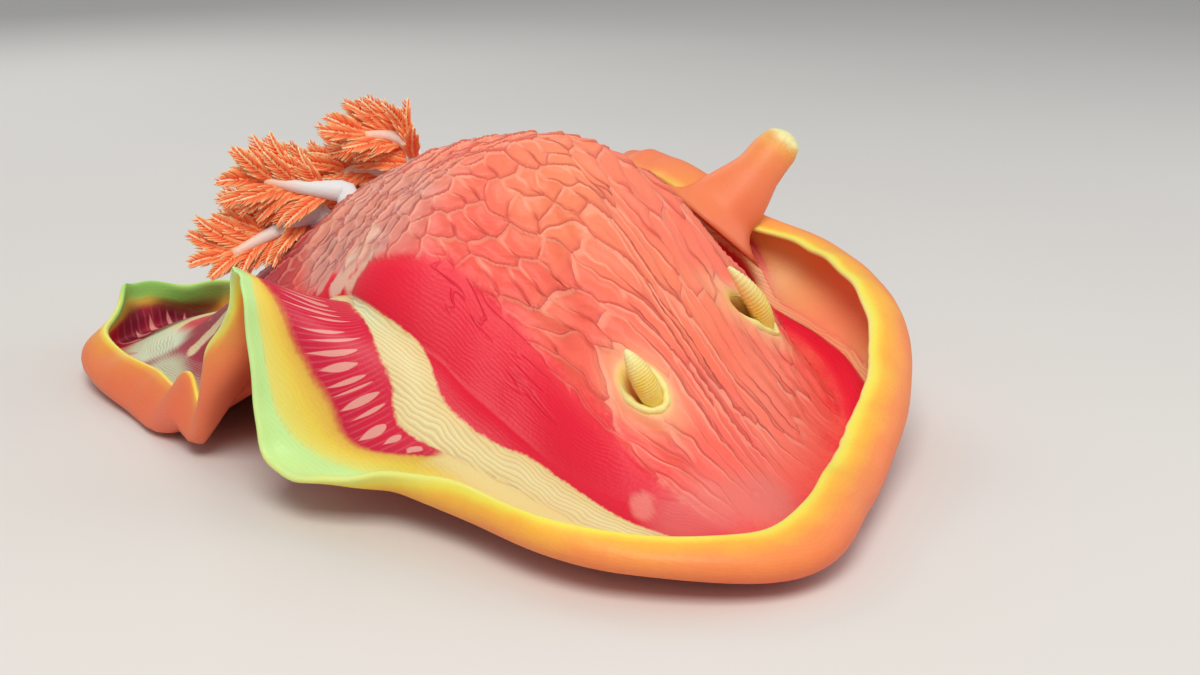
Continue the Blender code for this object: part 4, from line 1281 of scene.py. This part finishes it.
# %% Material of the rhinophores
def yellow_material():
    """Rhinophore flesh, a smelling organ grown in thin leaves round a stiff core.

    Its slime is thinner than the mantle's, so it shines in small sharp lights. The gaps between
    the leaves are darkened to a deeper gold as painted shade, and it is paler at the tip.
    """
    material, node = new_material("leafed_rhinophore_flesh", roughness=0.42,
                                  subsurface_weight=0.2, subsurface_radius=(1.0, 0.6, 0.2),
                                  subsurface_scale=3.0)
    deep, along = (node(ATTRIBUTE, out="Fac", attribute_name=name) for name in ("leaf", "along"))
    spot = node("ShaderNodeTexCoord", out="Object")
    pale = node(RANGE, {0: along, 1: 0.55, 2: 1.0})
    # Painted shade: a deeper gold in the gaps between the leaves.
    gap_shade = node(MATH, {0: deep, 1: 0.45}, **TIMES)
    mottle = node(NOISE, {"Vector": spot, "Scale": per(1.4)})
    mottle = node(RANGE, {0: mottle, 1: 0.4, 2: 0.7, 4: 0.25})
    shade = colour("#F8DC62")
    for cover, code in ((pale, "#F7EFAE"), (gap_shade, "#D08E24"), (mottle, "#FFF5C4")):
        shade = node(MIX, {0: cover, 6: shade, 7: colour(code)}, **BLEND)
    return coat(material, shade, node(NOISE, {"Vector": spot, "Scale": per(0.6)}), 0.3, 0.4)


yellow = yellow_material()
print(yellow.name, "has", len(yellow.node_tree.nodes), "nodes")


# %% Build the rhinophores
CLUB_RADIUS = 2.7
CLUB_LEAVES = 24
CLUB_ELBOW = 4.5             # height of the bend over the skin
CLUB_DEEP = 3.0              # how far the foot goes into the skin
LEAF_DEEP = 0.13             # of the gaps between leaves, in radii
LIP_RADIUS = 0.95


def build_club(side, material):
    """One ringed club, from inside its pocket to its tip."""
    make = RHINOPHORES[side]
    place, normal = back_at(*make["at"])
    lean = unit(make["lean"])
    axis = unit(normal + lean)
    elbow = place + axis * CLUB_ELBOW
    rows, sides = 150, 32
    t = np.linspace(0, 1, rows)
    centres = bezier(place - axis * CLUB_DEEP, elbow + axis * 1.5, elbow + lean * make["length"],
                     t[:, None])
    turn = np.arange(sides) * math.tau / sides
    swell = 0.72 + 0.42 * np.sin(np.pi * t**0.9) - 0.55 * t**7
    beat = np.cos(math.tau * (t[:, None] * CLUB_LEAVES + 0.35 * np.sin(turn)))
    depth = between(t, 0.28, 0.4, 0.9, 0.98)
    rear = 0.35 + 0.65 * smooth(-0.3, 0.6, np.sin(turn))
    notch = depth[:, None] * rear * (0.5 - 0.5 * beat)
    points = tube(centres, CLUB_RADIUS * (swell[:, None] - LEAF_DEEP * notch), 1.0,
                  lean + (0.0, 0.3, 0.2), sides)
    # The notches' depth goes out as "leaf", which the material darkens as painted shade.
    return new_mesh("rhinophore_club_" + side, points, loft_faces(rows, sides), material,
                    {"leaf": notch, "along": np.repeat(t, sides)})


def build_pocket(side, material):
    """The soft lip round a pocket: high at its foot and sinking into the skin at its far end."""
    middle, along, across, normal = pit_frame(side)
    rows, sides = 96, 14
    turn = np.arange(rows) * math.tau / rows
    oval = middle + np.cos(turn)[:, None] * along + np.sin(turn)[:, None] * across
    ground = np.array([back_at(x, y)[0] for x, y, _ in oval])
    stands = 1 - 0.8 * smooth(0.0, 0.95, np.cos(turn))
    outward = unit(oval - middle)
    outward = unit(outward - (outward @ normal)[:, None] * normal)[:, None]
    round_lip = (np.arange(sides) * math.tau / sides)[:, None]
    section = np.cos(round_lip) * outward * 1.15 + np.sin(round_lip) * normal * 1.5
    size = LIP_RADIUS * stands * (1 + 0.10 * np.sin(turn * 9))
    centres = ground + normal * (0.75 * stands - 0.35)[:, None]
    points = (centres[:, None] + section * size[:, None, None]).reshape(-1, 3)
    return new_mesh("rhinophore_pocket_" + side, points, quads(rows, sides, rings=True), material,
                    {"leaf": np.zeros(len(points)), "along": np.full(len(points), 0.8)})


for side in "LR":
    hand_in(build_club(side, yellow), "rhinophore_flesh", "rhinophore_" + side)
    hand_in(build_pocket(side, yellow), "rhinophore_flesh", "rhinophore_sheath_" + side)

# %% [markdown]
# ## Mouth and oral tentacles
#
# Under the roll of the mantle two soft lips meet in the upright line of the mouth, and a flat
# tentacle with a frilled front edge spreads on each side of it. They are seen from low down in
# front and from below, and wear the colours of the snout. Four tubes do here: a flat section
# makes a tentacle, and a wave along its edge makes the frill.

# %% Material of the mouth
def mouth_material():
    """Flesh of the lips and oral tentacles, soft muscle under thin wet skin.

    It is salmon where it is thick and paler along the frilled edges, where light comes through.
    """
    material, node = new_material("soft_lip_flesh", roughness=0.42, subsurface_weight=0.2,
                                  subsurface_radius=(1.0, 0.4, 0.25), subsurface_scale=3.0)
    edge = node(ATTRIBUTE, out="Fac", attribute_name="edge")
    spot = node("ShaderNodeTexCoord", out="Object")
    cloud = node(NOISE, {"Vector": spot, "Scale": per(4)})
    shade = colour("#E8603E")
    for cover, code in ((cloud, "#F58A5E"), (edge, "#F9C98C")):
        shade = node(MIX, {0: cover, 6: shade, 7: colour(code)}, **BLEND)
    return coat(material, shade, node(NOISE, {"Vector": spot, "Scale": per(1.1)}), 0.4, 0.5)


mouth = mouth_material()
print(mouth.name, "has", len(mouth.node_tree.nodes), "nodes")


# %% Build the mouth's lips and tentacles
TENTACLE = {"root": (7.0, -85.0, 11.5), "bend": (16.0, -99.0, 8.5), "tip": (29.0, -95.0, 6.5)}
TENTACLE_RADIUS = 3.6
TENTACLE_FLAT = 0.34         # its thickness over its width
TENTACLE_SWELL = ((0, 0.17, 0.34, 0.5, 0.67, 0.84, 0.95, 1),
                  (0.7, 0.75, 0.9, 1.1, 1.2, 1.0, 0.6, 0.12))
FRILL = 0.16                 # height of a frill, in radii
LIP = {"root": (2.0, -84.0, 11.5), "front": (2.1, -96.5, 9.8), "radius": 2.75}
LIP_SWELL = ((0, 0.5, 0.8, 0.93, 1), (0.9, 1.0, 0.98, 0.72, 0.1))


def build_tentacle(side, sign, material):
    """A flat oral tentacle whose front edge is thrown into small frills."""
    root, bend, tip = (np.array(TENTACLE[key]) * (sign, 1, 1) for key in ("root", "bend", "tip"))
    rows, sides = 60, 24
    t = np.linspace(0, 1, rows)
    centres = bezier(root + (root - bend) * 0.12, bend, tip, t[:, None])
    radii = TENTACLE_RADIUS * np.interp(t, *TENTACLE_SWELL)[:, None]
    frill = np.abs(np.cos(np.arange(sides) * math.tau / sides))**3
    wave = FRILL * np.sin(t * 40)[:, None] * frill
    points = tube(centres, radii * (1 + 0.06 * wave), TENTACLE_FLAT, (0.13, 0.21, 1.0), sides)
    points[:, 2] += (wave * radii).ravel()
    return new_mesh("oral_tentacle_frilled_" + side, points, loft_faces(rows, sides), material,
                    {"edge": np.tile(smooth(0.6, 1.0, frill), rows)})


def build_lips(material):
    """Two soft lips, pressed together in the upright line of the mouth."""
    points, faces = [], []
    rows, sides = 28, 28
    t = np.linspace(0, 1, rows)
    for lip, sign in enumerate((1, -1)):
        root, front = (np.array(LIP[key]) * (sign, 1, 1) for key in ("root", "front"))
        rings = tube(root + (front - root) * t[:, None], LIP["radius"] * np.interp(t, *LIP_SWELL),
                     1.15, (0, 0, 1.0), sides)
        points.append(rings + 0.05 * soft_noise(rings, 1.6, 41)[:, None])
        faces += loft_faces(rows, sides, lip * rows * sides)
    edges = np.repeat(smooth(0.8, 1.0, t) * 0.5, sides)
    return new_mesh("mouth_lips", np.concatenate(points), faces, material,
                    {"edge": np.tile(edges, 2)})


for side, sign in (("L", 1), ("R", -1)):
    hand_in(build_tentacle(side, sign, mouth), "back_flesh", "oral_tentacle_" + side)
hand_in(build_lips(mouth), "back_flesh")

# %% [markdown]
# ## Gills
#
# Six plumes stand round the vent and stream back. A pale rachis carries plumelets, and each
# plumelet is a thin orange leaf with a golden rib and two rows of curved filaments with pale
# tips. The rachis and the leaves are lofted along curves. The filaments repeat by the thousand,
# so one filament is made and Geometry Nodes set a turned, sized copy of it on every seat.

# %% Sizes and material of the gills
# Where each plume stands on the back, then the middle and the tip of its rachis.
PLUMES = (
    ((2, 62), (-11, 66, 52), (-26.5, 70.5, 46.5)),
    ((4, 52), (-5, 61, 64), (-15, 68, 67)),
    ((23, 43), (27, 49.5, 73.5), (14.5, 55, 77.5)),
    ((27, 51), (21, 58, 66), (9, 63, 63)),
    ((24, 62), (16.5, 74, 61.5), (4.5, 85, 62.5)),
    ((13, 67), (1, 75.5, 53.5), (-12.5, 80, 49)),
)
PLUME_ROOT = 3.5
PLUME_TIP = 1.3
PLUME_KNEE = 4.0
PLUMELETS = 17
PLUMELET_LONG = 19.0
FILAMENTS = 14               # on each side of a plumelet
FILAMENT_LONG = 4.6
UNEVEN = 0.18                # how much filaments differ in length
FAN_FACING = np.array((-0.72, -0.60, 0.35))   # the fans face ahead and to the right
STREAM = np.array((-0.60, 0.80, 0.05))        # and their leaves stream back to the right
LEAF_KIND, RIB_KIND, RACHIS_KIND = 0, 1, 2    # what a point belongs to, for its colour


def gill_material():
    """Gill flesh, thin branched skin filled with blood that takes in oxygen.

    Orange pigment lies in the leaves. The rachis is thick clear muscle and looks bluish white,
    and the tips are so thin that they look pale. It is too thin and branched to shine much.
    """
    material, node = new_material("feathery_gill_flesh", roughness=0.5, subsurface_weight=0.06,
                                  subsurface_radius=(1.0, 0.5, 0.3), subsurface_scale=1.0)
    kind, tip = (node(ATTRIBUTE, out="Fac", attribute_name=name) for name in ("kind", "tip"))
    spot = node("ShaderNodeTexCoord", out="Object")

    def blended(cover, low, high, under, over):
        """A colour that passes to another while the cover goes from low to high."""
        cover = node(RANGE, {0: cover, 1: low, 2: high})
        return node(MIX, {0: cover, 6: under, 7: over}, **BLEND)

    cloud = node(NOISE, {"Vector": spot, "Scale": per(8)})
    leaf = blended(cloud, 0.0, 1.0, colour("#FA5430"), colour("#FF7A4C"))
    rib = blended(tip, 0.25, 0.9, colour("#FF6A3A"), colour("#FFB878"))
    rib = blended(tip, 0.8, 1.0, rib, colour("#FFEDBE"))
    rachis = blended(tip, 0.5, 1.0, colour("#E6EEF0"), colour("#FFD2B4"))
    shade = blended(kind, 0.4, 0.6, leaf, rib)
    shade = blended(kind, 1.4, 1.6, shade, rachis)
    return coat(material, shade, node(NOISE, {"Vector": spot, "Scale": per(0.8)}), 0.3, 0.4)


gill = gill_material()
print(len(PLUMES), "plumes of", PLUMELETS, "plumelets with", 2 * FILAMENTS, "filaments each")


# %% The filament and the tree that sets it on its seats
def build_filament(material):
    """One filament, a unit long along Z and curved towards X, to be copied and then removed."""
    rows, sides = 4, 5
    t = np.linspace(0, 1, rows)
    centres = np.stack([0.30 * t * t, 0 * t, t], -1)
    points = tube(centres, (0.130, 0.120, 0.085, 0.022), 1.0, (0, 1.0, 0.01), sides)
    return new_mesh("filament", points / MM + MIDDLE, loft_faces(rows, sides), material,
                    {"kind": np.ones(rows * sides), "tip": np.repeat(t, sides),
                     "seat": np.zeros(rows * sides)})


def filaments_tree():
    """A geometry node tree that sets a filament on every seat of a plume."""
    group, keys, node, given = new_tree("grow_filaments", Filament="Object", Length="Float",
                                        Unevenness="Float", Seed="Int", Flesh="Material")
    seat, size, aim, bend = (
        node("GeometryNodeInputNamedAttribute", {"Name": name}, data_type=kind)
        for name, kind in (("seat", "FLOAT"), ("size", "FLOAT"), ("aim", "FLOAT_VECTOR"),
                           ("bend", "FLOAT_VECTOR")))
    chosen = node("FunctionNodeCompare", {0: seat, 1: 0.5}, data_type="FLOAT")
    parts = node("GeometryNodeSeparateGeometry", {0: given["Geometry"], 1: chosen}, None).outputs
    one = node("GeometryNodeObjectInfo", {0: given["Filament"]}, "Geometry")
    turn = node("FunctionNodeAlignRotationToVector", {"Vector": aim}, axis="Z")
    turn = node("FunctionNodeAlignRotationToVector", {"Rotation": turn, "Vector": bend},
                axis="X", pivot_axis="Z")
    low = node(MATH, {0: 1.0, 1: given["Unevenness"]}, **MINUS)
    high = node(MATH, {0: 1.0, 1: given["Unevenness"]}, operation="ADD")
    vary = node("FunctionNodeRandomValue", {2: low, 3: high, "Seed": given["Seed"]}, 1,
                data_type="FLOAT")
    long = size
    for share in (given["Length"], vary):
        long = node(MATH, {0: long, 1: share}, **TIMES)
    grown = node("GeometryNodeInstanceOnPoints", {"Points": parts[0], "Instance": one,
                                                  "Rotation": turn, "Scale": long})
    both = node("GeometryNodeJoinGeometry", {0: parts[1]}, None)
    group.links.new(grown, both.inputs[0])
    end_tree(node, both.outputs[0], given["Flesh"])
    return group, keys


filament = build_filament(gill)
tree, tree_keys = filaments_tree()
print("a filament of", len(filament.data.polygons), "faces, inputs", ", ".join(tree_keys))


# %% Strands and seats of a plume
class Plume:
    """The strands and the filament seats of one plume, gathered for one mesh."""

    def __init__(self):
        self.points, self.faces, self.kinds, self.tips = [], [], [], []
        self.seats, self.aims, self.bends, self.sizes = [], [], [], []
        self.count = 0

    def strand(self, line, radii, sides, flat, face, kind, tips):
        """Add a strand along a line of points, with its kind and how near the tip each row is."""
        self.points.append(tube(line, radii, flat, face, sides))
        self.faces += loft_faces(len(line), sides, self.count)
        self.kinds.append(np.full(len(line) * sides, float(kind)))
        self.tips.append(np.repeat(np.asarray(tips, float), sides))
        self.count += len(line) * sides

    def seat(self, place, aim, bend, size):
        """Add a seat: where a filament stands, where it points, how it bends and its size."""
        for row, value in ((self.seats, place), (self.aims, aim), (self.bends, bend),
                           (self.sizes, size)):
            row.append(value)

    def make(self, name, material):
        """The mesh object of the strands, with the seats as loose points."""
        solid, loose = self.count, len(self.seats)
        still = np.zeros((solid, 3))
        values = {"kind": np.concatenate(self.kinds + [np.full(loose, float(RIB_KIND))]),
                  "tip": np.concatenate(self.tips + [np.zeros(loose)]),
                  "seat": np.concatenate([np.zeros(solid), np.ones(loose)]),
                  "size": np.concatenate([np.zeros(solid), self.sizes])}
        vectors = {"aim": np.concatenate([still, self.aims]),
                   "bend": np.concatenate([still, self.bends])}
        return new_mesh(name, np.concatenate(self.points + [np.array(self.seats)]), self.faces,
                        material, values, vectors)


print("each seat tells where a filament stands, points and bends, and how long it is")

# %% [markdown]
# A plume rises from the skin, turns at its knee and streams back. Its plumelets stand by turns on
# either side of the rachis, shorter towards the tip. Where the strands run together they lie
# inside the rachis, as real ones grow out of it.

# %% One plumelet
def add_plumelet(plume, foot, aim, face, long):
    """One side branch: a leaf, its rib and the seats of two rows of filaments."""
    across = unit(np.cross(aim, face))
    arc = unit(aim + face * rng.uniform(0.05, 0.35) + across * rng.uniform(-0.2, 0.2))
    end = foot + unit(aim + across * rng.uniform(-0.22, 0.22)) * long
    bend = foot + arc * long * 0.55
    t = np.linspace(0, 1, 9)
    line = bezier(foot, bend, end, t[:, None])
    width = FILAMENT_LONG * (0.20 + 0.40 * np.sin(np.pi * t**0.7))
    blade = line - face * 0.25
    plume.strand(blade, width * 0.60 * (1 - t**5) + 0.15, 8, 0.10, face, LEAF_KIND, t)
    plume.strand(line, 0.85 * (1 - t)**0.6 + 0.22, 6, 0.9, face, RIB_KIND, 0.55 + 0.45 * t)
    for k in range(FILAMENTS):
        at = 0.08 + 0.9 * (k + rng.uniform(-0.2, 0.2)) / FILAMENTS
        stem = bezier(foot, bend, end, at)
        ahead = unit(bezier(foot, bend, end, at + 0.02) - stem)
        size = 0.30 + 0.85 * math.sin(math.pi * at**0.6)
        for hand in (1, -1):
            out = unit(ahead * 1.0 + across * hand + face * rng.uniform(0.0, 0.35))
            plume.seat(stem, out, ahead, size)


print("a plumelet is about", PLUMELET_LONG, "mm long and its filaments", FILAMENT_LONG, "mm")


# %% Build the gill plumes
def build_plume(number, place, middle, tip, material):
    """One plume: a curved rachis with its plumelets in two rows."""
    root, normal = back_at(*place)
    middle, tip = np.array(middle, float), np.array(tip, float)
    knee = root + normal * PLUME_KNEE
    bow = middle * 2 - (knee + tip) / 2
    face = unit(FAN_FACING + np.array((0.0, 0.0, 0.12 * math.sin(number * 2.4))))
    plume = Plume()
    t = np.linspace(0, 1, 20)
    path = np.concatenate([[root - normal * 3.0, root], bezier(knee, bow, tip, t[:, None])])
    radii = np.concatenate([[PLUME_ROOT + 0.5, PLUME_ROOT + 0.2],
                            PLUME_ROOT + (PLUME_TIP - PLUME_ROOT) * t**0.85])
    plume.strand(path, radii, 14, 0.85, face, RACHIS_KIND, np.concatenate([[0, 0], t]))
    for k in range(PLUMELETS):
        at = 0.16 + 0.84 * k / (PLUMELETS - 1)
        side = 1 if k % 2 else -1
        # A foot lies behind the rachis, so that the pale rachis shows in front of its leaves.
        foot = bezier(knee, bow, tip, at) - face * 2.4 * (1 - 0.5 * at)
        ahead = unit(bezier(knee, bow, tip, min(at + 0.02, 1.02)) - foot)
        spread = unit(np.cross(ahead, face))
        apart = 0.0 if k == PLUMELETS - 1 else 0.62 - 0.2 * at
        aim = unit(ahead * 0.45 + STREAM * 0.6 + spread * side * apart
                   + face * rng.uniform(-0.25, 0.3))
        long = PLUMELET_LONG * (0.62 + 0.38 * math.sin(math.pi * (0.25 + 0.6 * at)))
        add_plumelet(plume, foot, aim, face, long * rng.uniform(0.88, 1.12))
    return plume.make("gill_plume_%d" % number, material)


for number, (place, middle, tip) in enumerate(PLUMES, start=1):
    piece = build_plume(number, place, middle, tip, gill)
    grow(piece, tree, tree_keys, {"Filament": filament, "Length": FILAMENT_LONG * MM,
                                  "Unevenness": UNEVEN, "Seed": number, "Flesh": gill})
    hand_in(piece, "gill_flesh", "gill_%d" % number)
bpy.data.objects.remove(filament)

# %% [markdown]
# ## Floor, light and camera
#
# A museum photographs such a model on a plain pale floor with broad soft lights. A bright sky
# all round would flatten it, so a large key light stands over the camera, a weaker one fills the
# animal's left side and one behind lights the gills and the rims. The camera has the
# photograph's viewing angle: low over the floor, ahead of the animal on its right.

# %% Floor, light and camera
VIEW_FROM = (-0.3128, -0.2802, 0.1598)
VIEW_TURN = (math.radians(72), 0.0, math.radians(-53))
LENS = 45.0
SENSOR = 36.0
FLOOR_HALF = 6.0             # in metres, so that no edge of the floor is seen
AIM = Vector((0, 0, 0.03))
ROOM_LIGHT = 0.40
# Place, size, power and tint of each lamp, in metres and watts.
LAMPS = {
    "key": ((-0.45, -0.35, 0.85), 0.5, 6.4, "#FFF8F0"),
    "fill": ((0.7, -0.6, 0.5), 0.8, 2.0, "#F4F8FF"),
    "rim": ((0.3, 0.8, 0.6), 0.6, 2.0, "#FFFFFF"),
}


def add_floor():
    """A wide floor of pale matt card, as photographers roll out: smooth, with no shine."""
    material = bpy.data.materials.new("matt_photo_card")
    material.use_nodes = True
    shader = material.node_tree.nodes["Principled BSDF"]
    node = partial(add_node, material.node_tree)
    where = node("ShaderNodeTexCoord", out="Object")
    grey = node(MIX, {0: node(NOISE, {"Vector": where, "Scale": per(330)}), 6: colour("#DDDBD7"),
                      7: colour("#E6E4E0")}, **BLEND)
    material.node_tree.links.new(grey, shader.inputs["Base Color"])
    shader.inputs["Roughness"].default_value = 0.8
    mesh = bpy.data.meshes.new("floor")
    corners = [(x * FLOOR_HALF, y * FLOOR_HALF, 0) for x, y in ((-1, -1), (1, -1), (1, 1), (-1, 1))]
    mesh.from_pydata(corners, [], [(0, 1, 2, 3)])
    mesh.materials.append(material)
    floor = bpy.data.objects.new("floor", mesh)
    bpy.context.scene.collection.objects.link(floor)


def add_light(name, place, size, power, tint):
    """A square soft light that looks at the middle of the animal."""
    data = bpy.data.lights.new(name, "AREA")
    data.size = size
    data.energy = power
    data.color = colour(tint)[:3]
    light = bpy.data.objects.new(name, data)
    light.location = place
    light.rotation_euler = (AIM - light.location).to_track_quat("-Z", "Y").to_euler()
    bpy.context.scene.collection.objects.link(light)


def add_camera():
    """The camera at the photograph's viewing angle."""
    data = bpy.data.cameras.new("camera")
    data.lens = LENS
    data.sensor_width = SENSOR
    data.clip_start = 0.01
    camera = bpy.data.objects.new("camera", data)
    camera.location = VIEW_FROM
    camera.rotation_euler = VIEW_TURN
    bpy.context.scene.collection.objects.link(camera)
    bpy.context.scene.camera = camera


add_floor()
for name, lamp in LAMPS.items():
    add_light(name, *lamp)
world = bpy.data.worlds.new("soft_room")
world.use_nodes = True
world.node_tree.nodes["Background"].inputs["Color"].default_value = colour("#F2F4F6")
world.node_tree.nodes["Background"].inputs["Strength"].default_value = ROOM_LIGHT
bpy.context.scene.world = world
add_camera()
bpy.context.scene.view_settings.view_transform = "Standard"
print("the camera stands", round(Vector(VIEW_FROM).length * 1000), "mm from the animal")
